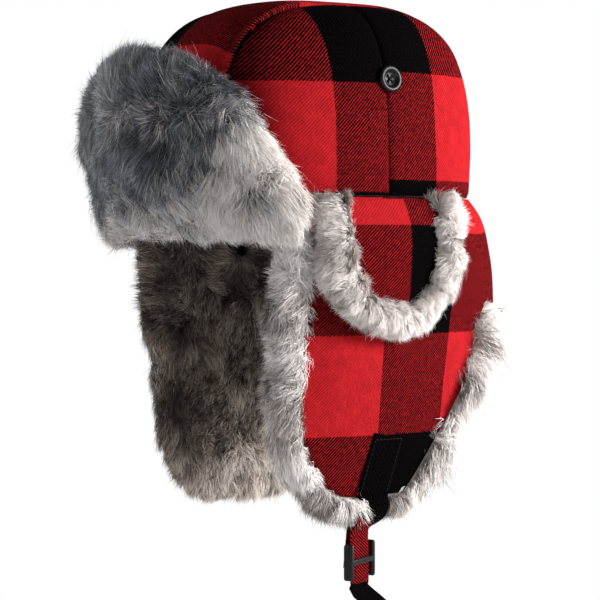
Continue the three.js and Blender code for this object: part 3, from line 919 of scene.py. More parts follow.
def neck_wool():
    across, down = ((130, 60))
    u, v = uv_grid(across, down)
    join = seam_angle(EAR_REAR)
    angle = lerp(join, math.pi - join, u)
    corner = smooth(np.abs(angle - math.pi / 2), math.radians(20), math.radians(45))
    z = lerp(CURTAIN_TOP, NECK_BOTTOM - 14 * corner, v)
    flat = stack(angle * 95, z, 0)
    slack = (1.3 * noise(flat, 40, 71) + 0.4 * noise(flat, 17, 72)) * smooth(-z, 0, 20) * (1 - v)
    slack *= smooth(np.minimum(u, 1 - u), 0, 0.15)
    thick = 0.35 + 0.65 * np.sqrt(smooth(1 - v, 0, 0.05))
    slack += 1.2 * smooth(-z, 0, 14) - 1.2
    outer = curtain(angle, z, slack + 0.4 * thick)
    inner = curtain(angle, z, slack - 1.8 * thick)
    points, faces = closed_slab(inner, outer)
    along = np.concatenate([[0], np.cumsum(np.linalg.norm(np.diff(seam(angle[:, 0])[0], axis=0), axis=1))])
    warp = np.stack([np.broadcast_to(along[:, None], z.shape) + EAR_REAR + 78, z + 23], -1).reshape(-1, 2)
    obj = mesh_object("neck_flap_wool", points, faces, PLAID, np.concatenate([warp, warp]) * MM)
    follow(obj, neck_weight(points))
    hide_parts("neck_flap_shell")


def ear_fur(side_name, side, material, pelt_finish, tint, strip_width, count):
    """The pelt behind the wool, a roll of it round the wool's edge, and its fur."""
    across, down = (44, 60)
    u, v = uv_grid(across, down)
    z = lerp(CURTAIN_TOP - 2, EAR_BOTTOM - 3, v)
    strip = strip_width * smooth(-z, 22, 50)
    y = lerp(ear_front(z, 4) + 4 - strip, ear_rear(z, 5) + 0.6, u)
    plump = np.sqrt(1 - np.abs(2 * u - 1) ** 5) * np.sqrt(1 - np.abs(2 * v - 1) ** 9)
    lumps = 1 + 0.35 * noise(stack(y, z, 0), 30, 79)
    sheet = closed_slab(
        curtain(seam_angle(y), z, -3.4 - 4.5 * plump * lumps), curtain(seam_angle(y), z, -3.0 + 0.8 * plump)
    )
    sheet = without_port(*sheet)
    drop = np.linspace(-7, EAR_BOTTOM - 4, 120)
    wander = 3.0 * noise(stack(drop, 0, 5), 21, 78)
    front_edge = np.stack([ear_front(drop, 4) - 0.4 * strip_width * smooth(-drop, 22, 50) + wander, drop], 1)
    rise = np.linspace(EAR_BOTTOM - 4, NECK_BOTTOM + 4, 90)
    rear_edge = np.stack([ear_rear(rise, 4) + 3.5, rise], 1)
    roll = flat_tube(np.concatenate([front_edge, rear_edge[1:]]), 5.0, 3.4, -2.8)
    points, faces = mirror(*joined(sheet, roll), side)
    name = f"ear_flap_{side_name}"
    pelt = mesh_object(name + "_pelt", points, faces, pelt_finish)
    follow(pelt, ear_weight(points))
    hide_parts(name + "_fur")

    def past_edge(p):
        """How far a place is past the wool's edge, in millimetres."""
        ahead = ear_front(p[:, 2], 0) - p[:, 1]
        below = EAR_BOTTOM - p[:, 2]
        behind = np.where(p[:, 2] < NECK_BOTTOM, p[:, 1] - ear_rear(p[:, 2], 0), -20)
        return np.maximum(np.maximum(ahead, below), behind)

    def density(p, n):
        outward = n[:, 0] * side > 0.2
        hidden = outward & (past_edge(p) < 0.5)
        hidden |= (n[:, 0] * side > -0.1) & (np.abs(p[:, 1] - STRAP_Y + 5) < 11) & (p[:, 2] < EAR_BOTTOM + 3)
        hidden |= (n[:, 0] * side > -0.5) & (p[:, 1] > ear_rear(p[:, 2], 0) - 4) & (p[:, 2] > NECK_BOTTOM + 2)
        hidden |= (n[:, 2] > 0.3) & (p[:, 2] > -10)
        rim = smooth(past_edge(p), -12, 0)
        return np.where(hidden, 0.0, 1.0 + 1.6 * rim) * (p[:, 2] < -4)

    def comb(p, n):
        centre = np.array([0.0, 5.0, -85.0])
        away = unit((p - centre) * [0.0, 1.0, 1.0])
        edge = smooth(past_edge(p), -20, 4)[:, None]
        over = smooth(n[:, 0] * side, 0.2, 0.9)[:, None]
        port = (p - np.array([0.0, 0.0, PORT_Z])) * [0.0, 1.0, 1.0]
        reach = np.linalg.norm(port, axis=1, keepdims=True)
        to_port = -port / np.maximum(reach, 1) * 4 * (1 - smooth(reach, 26, 38))
        down_way = np.array([0.0, -0.25, -1.0])
        turned = lerp(down_way, away * 1.2 + [0, 0, -0.45], edge) + to_port
        return lerp(turned, away * 0.35 + [0, 0, -0.8], over) + noise_vector(p, 24, 81) * 0.8

    def length(p, n):
        rear = smooth(p[:, 1], 15, 60) * smooth(-p[:, 2], 60, 90)
        port = np.linalg.norm((p - np.array([0.0, 0.0, PORT_Z])) * [0.0, 1.0, 1.0], axis=1)
        screen = 11 * (1 - smooth(port, 26, 36)) * smooth(-n[:, 0] * side, 0.2, 0.8)
        return (
            12.5 + screen + 2.5 * smooth(past_edge(p), -12, 2)
            + 9 * rear * smooth(past_edge(p), -8, 2) + 3 * noise(p, 18, 83)
        )

    settings = {
        "density": density, "comb": comb, "length": length, "lift": 0.45,
        "tint": tint, "material": material, "clump": 3.6, "gather": 0.6, "unruly": 0.3,
    }

    def attach(obj, roots, per_point):
        follow(obj, ear_weight(roots))

    fur_coat(name + "_hair", (points, faces), count, settings, attach, name + "_fur", 5 + side)


def neck_fur():
    across, down = (50, 24)
    u, v = uv_grid(across, down)
    join = seam_angle(EAR_REAR)
    angle = lerp(join, math.pi - join, u)
    corner = smooth(np.abs(angle - math.pi / 2), math.radians(20), math.radians(45))
    z = lerp(CURTAIN_TOP - 2, NECK_BOTTOM - 14 * corner - 12, v)
    plump = np.sqrt(1 - np.abs(2 * v - 1) ** 7)
    points, faces = closed_slab(
        curtain(angle, z, -3.4 - 3.5 * plump), curtain(angle, z, np.full_like(z, -3.0) + 0.8 * plump)
    )
    pelt = mesh_object("neck_flap_pelt", points, faces, LIGHT_PELT)
    follow(pelt, neck_weight(points))
    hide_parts("neck_flap_fur")

    def past_edge(p):
        return NECK_BOTTOM - p[:, 2]

    def density(p, n):
        away = stack(p[:, 0], p[:, 1], 0)
        facing = np.einsum("ij,ij->i", n, unit(away))
        hidden = (facing > -0.3) & (past_edge(p) < 1.5) | (p[:, 2] > -9)
        return np.where(hidden, 0.0, 1.0 + 2.5 * smooth(past_edge(p), -10, 2))

    def comb(p, n):
        out = smooth(past_edge(p), 0, 8)[:, None] * unit(p * [1, 1, 0])
        outwards = out * (0.9 + noise_vector(p, 20, 91) * 0.9)
        return np.array([0.0, 0.0, -1.0]) + outwards + noise_vector(p, 26, 92) * 0.3

    settings = {
        "density": density, "comb": comb, "lift": 0.4, "material": WHITE_FUR, "clump": 4.0, "gather": 0.5,
        "length": lambda p, n: (
            13 + 7 * smooth(past_edge(p), -6, 6) + 3 * noise(p, 18, 93) + 7 * smooth(np.abs(p[:, 0]), 35, 60)
        ),
        "tint": lambda p, n: 1.05 - 0.9 * smooth(noise(p, 17, 95), 0.45, 0.7), "speckle": 0.15,
    }

    def attach(obj, roots, per_point):
        follow(obj, neck_weight(roots))

    fur_coat("neck_flap_hair", (points, faces), NECK_HAIRS, settings, attach, "neck_flap_fur", 9)


# ---------- Front flap ----------


def front_flap():
    across, down = ((120, 70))
    u, v = uv_grid(across, down)
    turn = 2 * u - 1
    roll = smooth(v, 0, 0.16)
    rise = np.clip((v - 0.1) / 0.9, 0, 1)
    body = front_point(turn, rise, np.zeros_like(rise))
    point, outward = seam(np.radians(-90 + FRONT_TURN * turn))
    tuck = point - outward * 2.0
    tuck[..., 2] = CURTAIN_TOP
    under = point + outward * 0.2
    under[..., 2] = FRONT_BOTTOM * (1 - np.abs(turn) ** 6 * 0.4)
    first = lerp(tuck, under, smooth(v, 0, 0.1)[..., None])
    sheet = np.where((v < 0.1)[..., None], first, lerp(under, body, roll[..., None]))
    away = outward * (0.8 * (0.4 + 0.6 * smooth(np.minimum(u, 1 - u), 0, 0.03)))[..., None]
    points, faces = closed_slab(sheet - away * 0.2, sheet + away)
    warp = np.stack([turn * 105 + 32, sheet[..., 2] + 40], -1).reshape(-1, 2)
    obj = mesh_object("front_flap_wool", points, faces, PLAID, np.concatenate([warp, warp]) * MM)
    follow(obj, front_weight(points))
    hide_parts("front_flap_shell")
    front_fur()


def front_fur():
    across, down = 110, 60
    u, v = uv_grid(across, down)
    wave = 0.03 * noise(stack(u * 200, 0 * v, 7), 19, 105) * smooth(np.abs(2 * v - 1), 0.5, 1)
    turn = (2 * u - 1) * 0.985
    rise = 0.03 + 0.94 * v + wave
    plump = np.sqrt(1 - np.abs(2 * v - 1) ** 3) * np.sqrt(1 - np.abs(0.93 * (2 * u - 1)) ** 7)
    flat = stack(turn * 100, v * 108, 0)
    lump = 11.5 + 3.4 * noise(flat, 36, 101) + 1.6 * noise(flat, 15, 102)
    inner = front_point(turn, rise, np.full_like(v, 2.6))
    outer = front_point(turn, rise, 5.6 + np.maximum(lump, 4) * plump)
    points, faces = closed_slab(inner, outer)
    pelt = mesh_object("front_flap_pelt", points, faces, GREY_PELT)
    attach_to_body(pelt, "front_flap")
    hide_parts("front_flap_fur")

    def around(p):
        return np.degrees(np.arctan2(p[:, 0], -p[:, 1]))

    def whorl(p, turn, height, size):
        """How near a place is to a whorl in the fur, from 0 to 1, and the way out from it."""
        angle = math.radians(turn)
        centre = np.array([math.sin(angle) * 118, -math.cos(angle) * 138, height])
        away = p - centre
        reach = np.linalg.norm(away, axis=1, keepdims=True)
        return np.exp(-((reach / size) ** 2)), away / (reach + 6)

    def density(p, n):
        away = unit(stack(p[:, 0], p[:, 1], 0))
        facing = np.einsum("ij,ij->i", n, away)
        return np.where(facing < lerp(-0.15, 0.2, smooth(-p[:, 2], 8, 18)), 0.0, 1.0)

    def comb(p, n):
        turn = np.radians(around(p))
        sideways = stack(np.cos(turn), np.sin(turn), 0)
        push = smooth(around(p), -30, 60) * 2.2 - 0.9
        up_way = smooth(p[:, 2], 35, 75) * 1.9 - 0.85
        way = sideways * push[:, None] + np.array([0.0, 0.0, 1.0]) * up_way[:, None]
        way += noise_vector(p, 34, 111) * 1.1
        way += unit(p * [1, 1, 0]) * 0.9 * smooth(-p[:, 2], 6, 20)[:, None]
        for turn_at, height, size, strength in ((44, 2, 17, 2.4), (16, 44, 18, 1.8), (-12, -8, 16, -1.6)):
            near, away = whorl(p, turn_at, height, size)
            way += near * away * strength
        return way

    def length(p, n):
        corner = smooth(-around(p), 15, 50) * smooth(-p[:, 2], -18, 10)
        return 19 + 4.5 * noise(p, 24, 113) + 6 * corner

    def tint(p, n):
        patch = 0.13 + 0.24 * noise(p, 28, 117) + 0.26 * noise(p, 10, 118)
        # right: painted light, the fur's tint made lighter towards the flap's right side, which faces the key
        # light; low makes it lighter towards the flap's bottom.
        right = smooth(around(p) - 0.35 * p[:, 2], 4, 36)
        low = smooth(-p[:, 2], -6, 14)
        # Painted shade: the fur is darkened in the parting at one whorl, and in the crease where the fur
        # meets at another.
        parting_shade = whorl(p, 44, 2, 11)[0][:, 0]
        crease_shade = whorl(p, -12, -8, 11)[0][:, 0]
        return patch + 1.2 * np.maximum(right, low * 0.7) - 1.1 * parting_shade - 0.5 * crease_shade

    settings = {
        "density": density, "comb": comb, "length": length, "lift": 0.5,
        "tint": tint, "material": FRONT_FUR, "clump": 4.4, "gather": 0.62, "unruly": 0.38,
    }

    def attach(obj, roots, per_point):
        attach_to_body(obj, "front_flap")

    pelt_mesh = (points, faces)
    fur_coat("front_flap_hair", pelt_mesh, FRONT_HAIRS, settings, attach, "front_flap_fur", 3)


# ---------- Ear covers ----------


def cover_outline(share, border):
    half = COVER_HALF + border
    arc = math.pi * half
    along = share * (arc + 2 * COVER_STRAIGHT)
    turn = np.clip((along - COVER_STRAIGHT) / half, 0, math.pi)
    y = -half * np.cos(turn)
    down_leg = np.minimum(along, COVER_STRAIGHT)
    up_leg = np.maximum(along - arc - COVER_STRAIGHT, 0)
    return y, -down_leg - half * np.sin(turn) + up_leg


def line_inside(obj, inner_faces):
    """Gives the faces of a slab's inner side, which come first, the lining's finish."""
    obj.data.materials.append(LINING)
    for polygon in obj.data.polygons[:inner_faces]:
        polygon.material_index = 1


def ear_cover(side_name, side):
    name = f"ear_cover_{side_name}"
    across, down = ((70, 70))
    u, v = uv_grid(across, down)
    z = lerp(CURTAIN_TOP - 1, -COVER_STRAIGHT - COVER_HALF, v)
    drop = np.clip((-z - COVER_STRAIGHT) / COVER_HALF, 0, 1)
    half = (COVER_HALF + 1) * np.sqrt(np.maximum(0.004, 1 - drop * drop))
    y = half * (2 * u - 1)
    y = np.where(y > 0, y * COVER_REAR, y)
    flat = stack(y, z, 0)
    slack = 1.0 * noise(flat, 34, 121) + 0.3 * noise(flat, 14, 122)
    crown_up = 2.4 * np.sqrt(np.clip(1 - (y / COVER_HALF) ** 2, 0, 1) * smooth(v, 0, 0.3) * (1 - v * 0.6))
    depth = COVER_STANDOFF + crown_up + slack * smooth(-z, 0, 20)
    outer = curtain(seam_angle(y), z, depth + 1.7)
    inner = curtain(seam_angle(y), z, depth)
    points, faces = closed_slab(inner, outer)
    warp = np.stack([y + 57, z + 18.5], -1).reshape(-1, 2)
    points, faces = mirror(points, faces, side)
    obj = mesh_object(name + "_wool", points, faces, PLAID, np.concatenate([warp, warp]) * MM)
    line_inside(obj, across * down)
    follow(obj, cover_weight(points))
    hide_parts(name + "_shell")

    u, v = uv_grid(12, 70)
    y, z = cover_outline(v, lerp(0.0, COVER_BORDER - 5.5, u))
    y = np.where(y > 0, y * COVER_REAR, y)
    z = (z + CURTAIN_TOP - 2) * 0.97
    plump = np.sqrt(1 - np.abs(2 * u - 1) ** 3)
    low = curtain(seam_angle(y), z, np.full_like(z, COVER_STANDOFF))
    high = curtain(seam_angle(y), z, COVER_STANDOFF + 1.5 + (4 + noise(stack(y, z, 0), 17, 129)) * plump)
    points, faces = mirror(*closed_slab(low, high), side)
    pelt = mesh_object(name + "_pelt", points, faces, WHITE_PELT)
    follow(pelt, cover_weight(points))
    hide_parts(name + "_fur")

    def density(p, n):
        return np.where(n[:, 0] * side < -0.4, 0.15, 1.0) * (p[:, 2] < -3)

    def comb(p, n):
        from_centre = (p - np.array([0.0, 0.0, -COVER_STRAIGHT])) * [0.0, 1.0, 1.0]
        inner = smooth(np.linalg.norm(from_centre, axis=1), 38, 46)
        outwards = unit(from_centre) * (2.2 * inner - 0.6)[:, None]
        return outwards + np.array([0.0, 0.0, -0.45]) + noise_vector(p, 16, 131) * 0.6

    settings = {
        "density": density, "comb": comb, "lift": 0.45, "material": WHITE_FUR,
        "clump": 2.6, "gather": 0.5, "unruly": 0.36,
        "length": lambda p, n: 12.0 + 2.5 * noise(p, 14, 133),
        "tint": lambda p, n: 0.64 + 0.42 * noise(p, 16, 135),
    }

    def attach(hair, roots, per_point):
        follow(hair, cover_weight(roots))

    pelt_mesh = (points, faces)
    fur_coat(name + "_hair", pelt_mesh, COVER_HAIRS, settings, attach, name + "_fur", 15 + side)


# ---------- Buttons ----------


def crown_button(side_name, side):
    """A turned four-hole button with a shank ring and thread, placed on its CAD node."""
    node = f"crown_button_{side_name}"
    low, high = node_box(node)
    centre = (low + high) / 2
    radius = (high[1] - low[1]) / 2
    profile = [
        (0.0, 0.2), (3.6, 0.2), (4.5, 0.6), (5.2, 1.5), (5.8, 2.2), (6.5, 2.5), (7.4, 2.45),
        (8.1, 2.1), (radius, 1.3), (radius, 0.6), (8.0, 0.1), (6.5, -0.5), (0.0, -0.5),
    ]
    bm = bmesh.new()
    ring = [bm.verts.new((r * MM, 0, z * MM)) for r, z in profile]
    edges = [bm.edges.new(pair) for pair in zip(ring, ring[1:])]
    bmesh.ops.spin(bm, geom=ring + edges, cent=(0, 0, 0), axis=(0, 0, 1), angle=2 * math.pi, steps=72)
    bmesh.ops.remove_doubles(bm, verts=bm.verts, dist=1e-6)
    bmesh.ops.recalc_face_normals(bm, faces=bm.faces)
    mesh = bpy.data.meshes.new(node + "_turned")
    bm.to_mesh(mesh)
    bm.free()
    mesh.shade_smooth()
    mesh.materials.append(PLASTIC)
    disc = link(node + "_turned", mesh)
    cutter_bm = bmesh.new()
    for turn in range(4):
        angle = math.radians(45 + 90 * turn)
        hole = bmesh.ops.create_cone(
            cutter_bm, cap_ends=True, segments=24, radius1=1.0 * MM, radius2=1.0 * MM, depth=8 * MM
        )
        shift = Vector((2.3 * math.cos(angle), 2.3 * math.sin(angle), 0)) * MM
        bmesh.ops.translate(cutter_bm, verts=hole["verts"], vec=shift)
    cutter_mesh = bpy.data.meshes.new("holes")
    cutter_bm.to_mesh(cutter_mesh)
    cutter_bm.free()
    cutter = link("holes", cutter_mesh)
    cut = disc.modifiers.new("holes", "BOOLEAN")
    cut.object = cutter
    cut.operation = "DIFFERENCE"
    apply_modifiers(disc)
    bpy.data.objects.remove(cutter)
    matrix = button_matrix(centre, side)
    disc.data.transform(matrix)
    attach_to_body(disc, "crown")
    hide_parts(node)
    thread_points = []
    thread_faces = []
    for turn in (45, 135):
        way = np.array([math.cos(math.radians(turn)), math.sin(math.radians(turn)), 0])
        steps = np.linspace(-1, 1, 9)
        path = [way * 2.3 * s + np.array([0, 0, 0.2 + 0.8 * (1 - s**4)]) for s in steps]
        tube_points, tube_faces = tube(np.array(path), 0.42, 8)
        thread_faces += [[i + len(thread_points) for i in f] for f in tube_faces]
        thread_points += tube_points.tolist()
    thread = mesh_object(node + "_thread", thread_points, thread_faces, THREAD)
    thread.data.transform(matrix)
    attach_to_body(thread, "crown")


def button_matrix(centre, side):
    """Stands a button made flat on the origin on the crown's side, its face outwards."""
    out = Vector((side, 0, 0.105)).normalized()
    turn = out.to_track_quat("Z", "Y").to_matrix().to_4x4()
    turn.translation = Vector(centre * MM) - out * 0.0012
    return turn


def apply_modifiers(obj):
    bpy.context.view_layer.update()
    made = bpy.data.meshes.new_from_object(obj.evaluated_get(bpy.context.evaluated_depsgraph_get()))
    obj.modifiers.clear()
    obj.data = made


def tube(path, radius, sides):
    """A closed round tube along a path of points."""
    ahead = unit(np.gradient(path, axis=0))
    side = unit(np.cross(ahead, [0.31, 0.52, 0.8]))
    other = np.cross(ahead, side)
    turn = np.linspace(0, 2 * math.pi, sides, endpoint=False)
    ring = side[:, None] * np.cos(turn)[None, :, None] + other[:, None] * np.sin(turn)[None, :, None]
    points = (path[:, None] + ring * radius).reshape(-1, 3)
    faces = []
    for i in range(len(path) - 1):
        for j in range(sides):
            k = (j + 1) % sides
            faces.append([i * sides + j, i * sides + k, (i + 1) * sides + k, (i + 1) * sides + j])
    faces.append(list(range(sides))[::-1])
    faces.append([(len(path) - 1) * sides + j for j in range(sides)])
    return points, faces


# ---------- Straps and buckle ----------


def heading(turn):
    """The direction that a turn about Z, in degrees, takes +X to."""
    angle = np.radians(np.asarray(turn, float))
    return stack(np.cos(angle), np.sin(angle), 0)


def strap_mesh(name, centre, across, material, shift=0.0, pattern=None):
    """A flat strap with soft edges along a list of centre points. pattern places them on the plaid."""
    ahead = unit(np.gradient(centre, axis=0))
    facing = unit(np.cross(ahead, across))
    side = np.cross(facing, ahead)
    steps = np.linspace(-1, 1, 13)
    round_edge = np.sqrt(1 - np.abs(steps) ** 8) * 0.82 + 0.18
    offset = side[:, None] * (steps * STRAP_WIDTH / 2)[None, :, None]
    rise = facing[:, None] * (STRAP_THICKNESS / 2 * round_edge)[None, :, None]
    points, faces = closed_slab(centre[:, None] + offset - rise, centre[:, None] + offset + rise)
    along = np.concatenate([[0], np.cumsum(np.linalg.norm(np.diff(centre, axis=0), axis=1))])
    pattern = along + shift if pattern is None else pattern
    uv = np.stack(np.broadcast_arrays(steps[None] * STRAP_WIDTH / 2 + 96, pattern[:, None]), -1)
    uv = uv.reshape(-1, 2)
    return mesh_object(name, points, faces, material, np.concatenate([uv, uv]) * MM)


def curve_through(points, count):
    """A smooth curve through given points, evenly spaced."""
    p = np.array(points, float)
    ends = np.concatenate([2 * p[:1] - p[1:2], p, 2 * p[-1:] - p[-2:-1]])
    t = np.linspace(0, 1, 24, endpoint=False)[:, None]
    parts = []
    for a, b, c, d in zip(ends, ends[1:], ends[2:], ends[3:]):
        square = (2 * a - 5 * b + 4 * c - d) * t**2
        cube = (3 * b - a - 3 * c + d) * t**3
        parts.append(0.5 * (2 * b + (c - a) * t + square + cube))
    return evenly(np.concatenate(parts + [p[-1:]]), count)


def chin_strap():
    x, y, z = SLIDER_AT
    plug_x, plug_y = ((PLUG_LOW + PLUG_HIGH) / 2)[:2]
    top = PLUG_HIGH[2]
    centre = curve_through(
        [
            (80.4, STRAP_Y + SEWN_LEAN, EAR_BOTTOM - 0.2), (81.4, STRAP_Y + SEWN_LEAN - 1, EAR_BOTTOM - 8),
            (80, -10, EAR_BOTTOM - 15), (x, y, z + 18), (x, y, z + 6), (x, y, z - 6), (x, y, z - 15),
            (x, y, z - 18), (81.5, -4, -262), (86, 7, -278),
            (plug_x, plug_y, top + 8), (plug_x, plug_y, top + 1),
        ],
        110,
    )
    share = np.linspace(0, 1, len(centre))
    turn = lerp(SEWN_TURN, SLIDER_TURN, smooth(share, 0.05, 0.18))
    turn = lerp(turn, PLUG_TURN, smooth(share, 0.55, 0.85))
    pattern = np.interp(-centre[:, 2], [190, 207, 246, 310], [111, 128, 192, 256])
    strap = strap_mesh("chin_strap_web", centre, heading(turn), STRAP_PLAID, pattern=pattern)
    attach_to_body(strap, "chin_strap")
    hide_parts("chin_strap")
    across = heading(SLIDER_TURN)
    base = SLIDER_AT + heading(SLIDER_TURN + 90) * 5.2
    tail_top = node_box("strap_tail")[1][2] - 1
    route = [base + [0, 0, -6], base + across * 2.4 + [0, 0, 6], base + across * 5]
    route[2][2] = tail_top
    line = curve_through(route, 30)
    tail = strap_mesh("strap_tail_web", line, np.broadcast_to(across, line.shape), STRAP_PLAID, 10.0)
    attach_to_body(tail, "strap_slider")
    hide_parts("strap_tail")


def sewn_strap(name, node, side, body, shift, lean=0.0):
    low, high = node_box(node)
    share = np.linspace(0, 1, 40)
    z = lerp(high[2], low[2], share)
    centre = curtain(seam_angle(STRAP_Y + lean * share), z, np.full(40, 1.3))
    centre[:, 0] *= side
    across = np.broadcast_to(np.array([0.0, 1.0, 0.0]) * side, centre.shape)
    strap = strap_mesh(name, centre, across, STRAP_PLAID, shift)
    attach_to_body(strap, body)
    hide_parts(node)
    sewn = stitches(name + "_stitches", side, high[2] - 2, low[2] + 2, lean, body)


def stitches(name, side, top, bottom, lean, body):
    """Two lines of stitches down a strap's sewn end, and one across its top."""
    half = STRAP_WIDTH / 2 - 1.8
    lines = [((STRAP_Y + s * half, top), (STRAP_Y + lean + s * half, bottom)) for s in (-1, 1)]
    lines.append(((STRAP_Y - half, top), (STRAP_Y + half, top)))
    points, faces = [], []
    for start, end in lines:
        start, end = np.array(start), np.array(end)
        count = int(np.linalg.norm(end - start) // 2.6)
        for i in range(count):
            a = lerp(start, end, (i + 0.16) / count)
            b = lerp(start, end, (i + 0.84) / count)
            flat = lerp(a, b, np.linspace(0, 1, 5)[:, None])
            height = 2.1 + 0.25 * np.sin(np.linspace(0, math.pi, 5))
            path = curtain(seam_angle(flat[:, 0]), flat[:, 1], height)
            path[:, 0] *= side
            tube_points, tube_faces = tube(path, 0.22, 6)
            faces += [[k + len(points) for k in f] for f in tube_faces]
            points += tube_points.tolist()
    sewn = mesh_object(name, points, faces, THREAD)
    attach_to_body(sewn, body)
    return sewn


def rounded_box(bm, low, high, radius):
    """A box with rounded edges, from its lowest to its highest corner."""
    made = bmesh.ops.create_cube(bm, size=1)["verts"]
    low, high = Vector(low), Vector(high)
    bmesh.ops.scale(bm, verts=made, vec=(high - low) * MM)
    bmesh.ops.translate(bm, verts=made, vec=(high + low) / 2 * MM)
    edges = list({edge for vert in made for edge in vert.link_edges})
    bmesh.ops.bevel(bm, geom=made + edges, offset=radius * MM, segments=4, profile=0.5, affect="EDGES")


def strap_slider():
    """The tri-glide: two fat rails and a middle bar in front of the strap, end bars behind it."""
    bm = bmesh.new()
    inner = STRAP_WIDTH / 2 + 0.5
    for s in (-1, 1):
        x = sorted((s * inner, s * (inner + 3.2)))
        rounded_box(bm, (x[0], -3.4, -11.6), (x[1], 3.4, 11.6), 1.6)
        rounded_box(bm, (-inner - 1, 1.2, s * 9.4 - 1.8), (inner + 1, 3.3, s * 9.4 + 1.8), 0.8)
    rounded_box(bm, (-inner - 1, -3.3, -1.9), (inner + 1, -1.2, 1.9), 0.8)
    mesh = bpy.data.meshes.new("strap_slider_moulding")
    bm.to_mesh(mesh)
    bm.free()
    mesh.shade_smooth()
    mesh.materials.append(PLASTIC)
    slider = link("strap_slider_moulding", mesh)
    turn = Matrix.Rotation(math.radians(SLIDER_TURN), 4, "Z")
    turn.translation = Vector(SLIDER_AT * MM)
    mesh.transform(turn)
    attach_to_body(slider, "strap_slider")
    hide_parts("strap_slider")


def fitting(node, body):
    """A buckle half: the CAD fitting's shape with its edges rounded, in moulded plastic."""
    obj = link(node + "_moulding", NODES[node].data.copy())
    obj.data.materials.clear()
    obj.data.materials.append(PLASTIC)
    bevel = obj.modifiers.new("edges", "BEVEL")
    bevel.width = 0.5 * MM
    bevel.segments = 3
    bevel.limit_method = "ANGLE"
    apply_modifiers(obj)
    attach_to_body(obj, body)
    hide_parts(node)


def hard_parts():
    strap_slider()
    fitting("buckle_plug", "chin_strap")
    fitting("buckle_socket", "buckle_tab")
    NODES["crown_padding"].data.materials.clear()
    NODES["crown_padding"].data.materials.append(WADDING)


def buckle_tab():
    low, high = node_box("strap_right_tab")
    centre = np.linspace([high[0] - 0.8, STRAP_Y, high[2]], [low[0] + 0.8, STRAP_Y, low[2]], 12)
    across = np.broadcast_to(np.array([0.0, -1.0, 0.0]), centre.shape)
    tab = strap_mesh("strap_right_tab_web", centre, across, STRAP_PLAID, 100.0)
    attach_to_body(tab, "buckle_tab")
    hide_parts("strap_right_tab")
    return tab


# ---------- Stage, light and camera ----------

CAMERA_AZIMUTH = 54.0
CAMERA_ELEVATION = 1.5
CAMERA_DISTANCE = 1.5
CAMERA_AIM_Z = -0.068
CAMERA_AIM_SIDE = -0.004
FLOOR_RADIUS = 0.3
FLOOR_GAP = 0.012


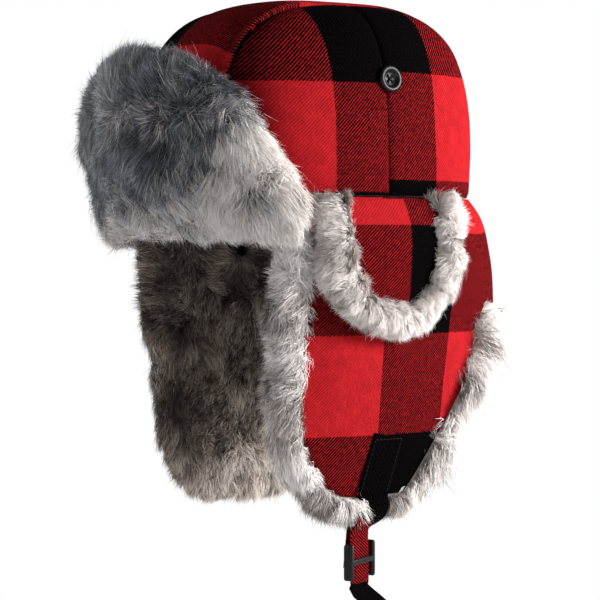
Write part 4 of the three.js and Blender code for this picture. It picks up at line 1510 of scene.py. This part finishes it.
def stage():
    turn = math.radians(CAMERA_AZIMUTH)
    rise = math.radians(CAMERA_ELEVATION)
    right = Vector((math.cos(turn), math.sin(turn), 0))
    back = Vector((math.sin(turn) * math.cos(rise), -math.cos(turn) * math.cos(rise), math.sin(rise)))
    aim = Vector((0, 0, CAMERA_AIM_Z)) + right * CAMERA_AIM_SIDE
    data = bpy.data.cameras.new("camera")
    data.lens = 135
    data.sensor_width = 36
    camera = bpy.data.objects.new("camera", data)
    bpy.context.scene.collection.objects.link(camera)
    camera.location = aim + back * CAMERA_DISTANCE
    camera.rotation_euler = (-back).to_track_quat("-Z", "Y").to_euler()
    bpy.context.scene.camera = camera
    bpy.context.scene.view_settings.view_transform = "Standard"

    towards = Vector((math.sin(turn), -math.cos(turn), 0))
    up = Vector((0, 0, 1))
    for name, place, size, power in (
        ("key", right * 1.75 + towards * 0.28 + up * 0.42, 0.6, 62.0),
        ("rim", right * -1.4 + towards * -0.4 + up * 0.4, 0.9, 13.0),
        ("fill", right * -0.4 + towards * 1.5 + up * -0.9, 1.2, 6.0),
    ):
        lamp = bpy.data.lights.new(name, "AREA")
        lamp.shape = "DISK"
        lamp.size = size
        lamp.energy = power
        lamp_object = bpy.data.objects.new(name, lamp)
        bpy.context.scene.collection.objects.link(lamp_object)
        lamp_object.location = place
        lamp_object.rotation_euler = (aim - lamp_object.location).to_track_quat("-Z", "Y").to_euler()

    floor_mesh = bpy.data.meshes.new("floor")
    floor_bm = bmesh.new()
    bmesh.ops.create_circle(floor_bm, cap_ends=True, segments=96, radius=FLOOR_RADIUS)
    floor_bm.to_mesh(floor_mesh)
    floor_bm.free()
    floor_mesh.materials.append(PALE_FLOOR)
    floor = link("floor", floor_mesh)
    floor.location = (0, 0, cad_low[2] - FLOOR_GAP)

    world = bpy.data.worlds.new("studio")
    world.use_nodes = True
    bpy.context.scene.world = world
    nodes, links = world.node_tree.nodes, world.node_tree.links
    lit = nodes["Background"]
    lit.inputs["Color"].default_value = (1, 1, 1, 1)
    direction = nodes.new("ShaderNodeTexCoord")
    height = nodes.new("ShaderNodeSeparateXYZ")
    links.new(direction.outputs["Generated"], height.inputs[0])
    fade = nodes.new("ShaderNodeMapRange")
    links.new(height.outputs[2], fade.inputs["Value"])
    fade.inputs["From Min"].default_value = -0.3
    fade.inputs["From Max"].default_value = 0.5
    fade.inputs["To Min"].default_value = 0.5
    fade.inputs["To Max"].default_value = 0.1
    links.new(fade.outputs["Result"], lit.inputs["Strength"])
    seen = nodes.new("ShaderNodeBackground")
    seen.inputs["Color"].default_value = (1, 1, 1, 1)
    path = nodes.new("ShaderNodeLightPath")
    mix = nodes.new("ShaderNodeMixShader")
    links.new(path.outputs["Is Camera Ray"], mix.inputs[0])
    links.new(lit.outputs[0], mix.inputs[1])
    links.new(seen.outputs[0], mix.inputs[2])
    links.new(mix.outputs[0], nodes["World Output"].inputs["Surface"])


# ---------- Assembly ----------


def light_tint(p, n):
    """Near-white fur with darker patches, and a dark tip."""
    patch = smooth(noise(p, 24, 141), 0.1, 0.6)
    low = smooth(-p[:, 2], 140, 172) * smooth(noise(p, 13, 143), -0.5, 0.5)
    return 0.96 - 0.55 * patch - 0.42 * low + 0.2 * noise(p, 8, 142)


def dark_tint(p, n):
    """Dark brown fur that turns pale at the flap's tip."""
    pale_end = smooth(-p[:, 2] + 9 * noise(p, 20, 152), 158, 184)
    return 0.3 + 0.3 * noise(p, 22, 151) + 0.34 * noise(p, 9, 153) + 0.4 * pale_end


stage()
centre_panel()
for side_name, side in (("left", 1), ("right", -1)):
    for end_name, end in (("front", -1), ("rear", 1)):
        side_panel(side_name, side, end_name, end)
    crown_button(side_name, side)
    ear_wool(side_name, side)
    ear_cover(side_name, side)
lining_dome()
ear_fur("left", 1, LIGHT_FUR, LIGHT_PELT, light_tint, 9.0, EAR_HAIRS)
ear_fur("right", -1, DARK_FUR, DARK_PELT, dark_tint, 2.0, EAR_HAIRS)
neck_wool()
neck_fur()
front_flap()
sewn_strap("strap_left_sewn_web", "strap_left_sewn_end", 1, "ear_flap_left", SEWN_PLAID_SHIFT, SEWN_LEAN)
tab = buckle_tab()
sewn_strap(
    "strap_right_sewn_web", "strap_right_sewn_end", -1, "ear_flap_right", SEWN_PLAID_SHIFT
)
chin_strap()
hard_parts()
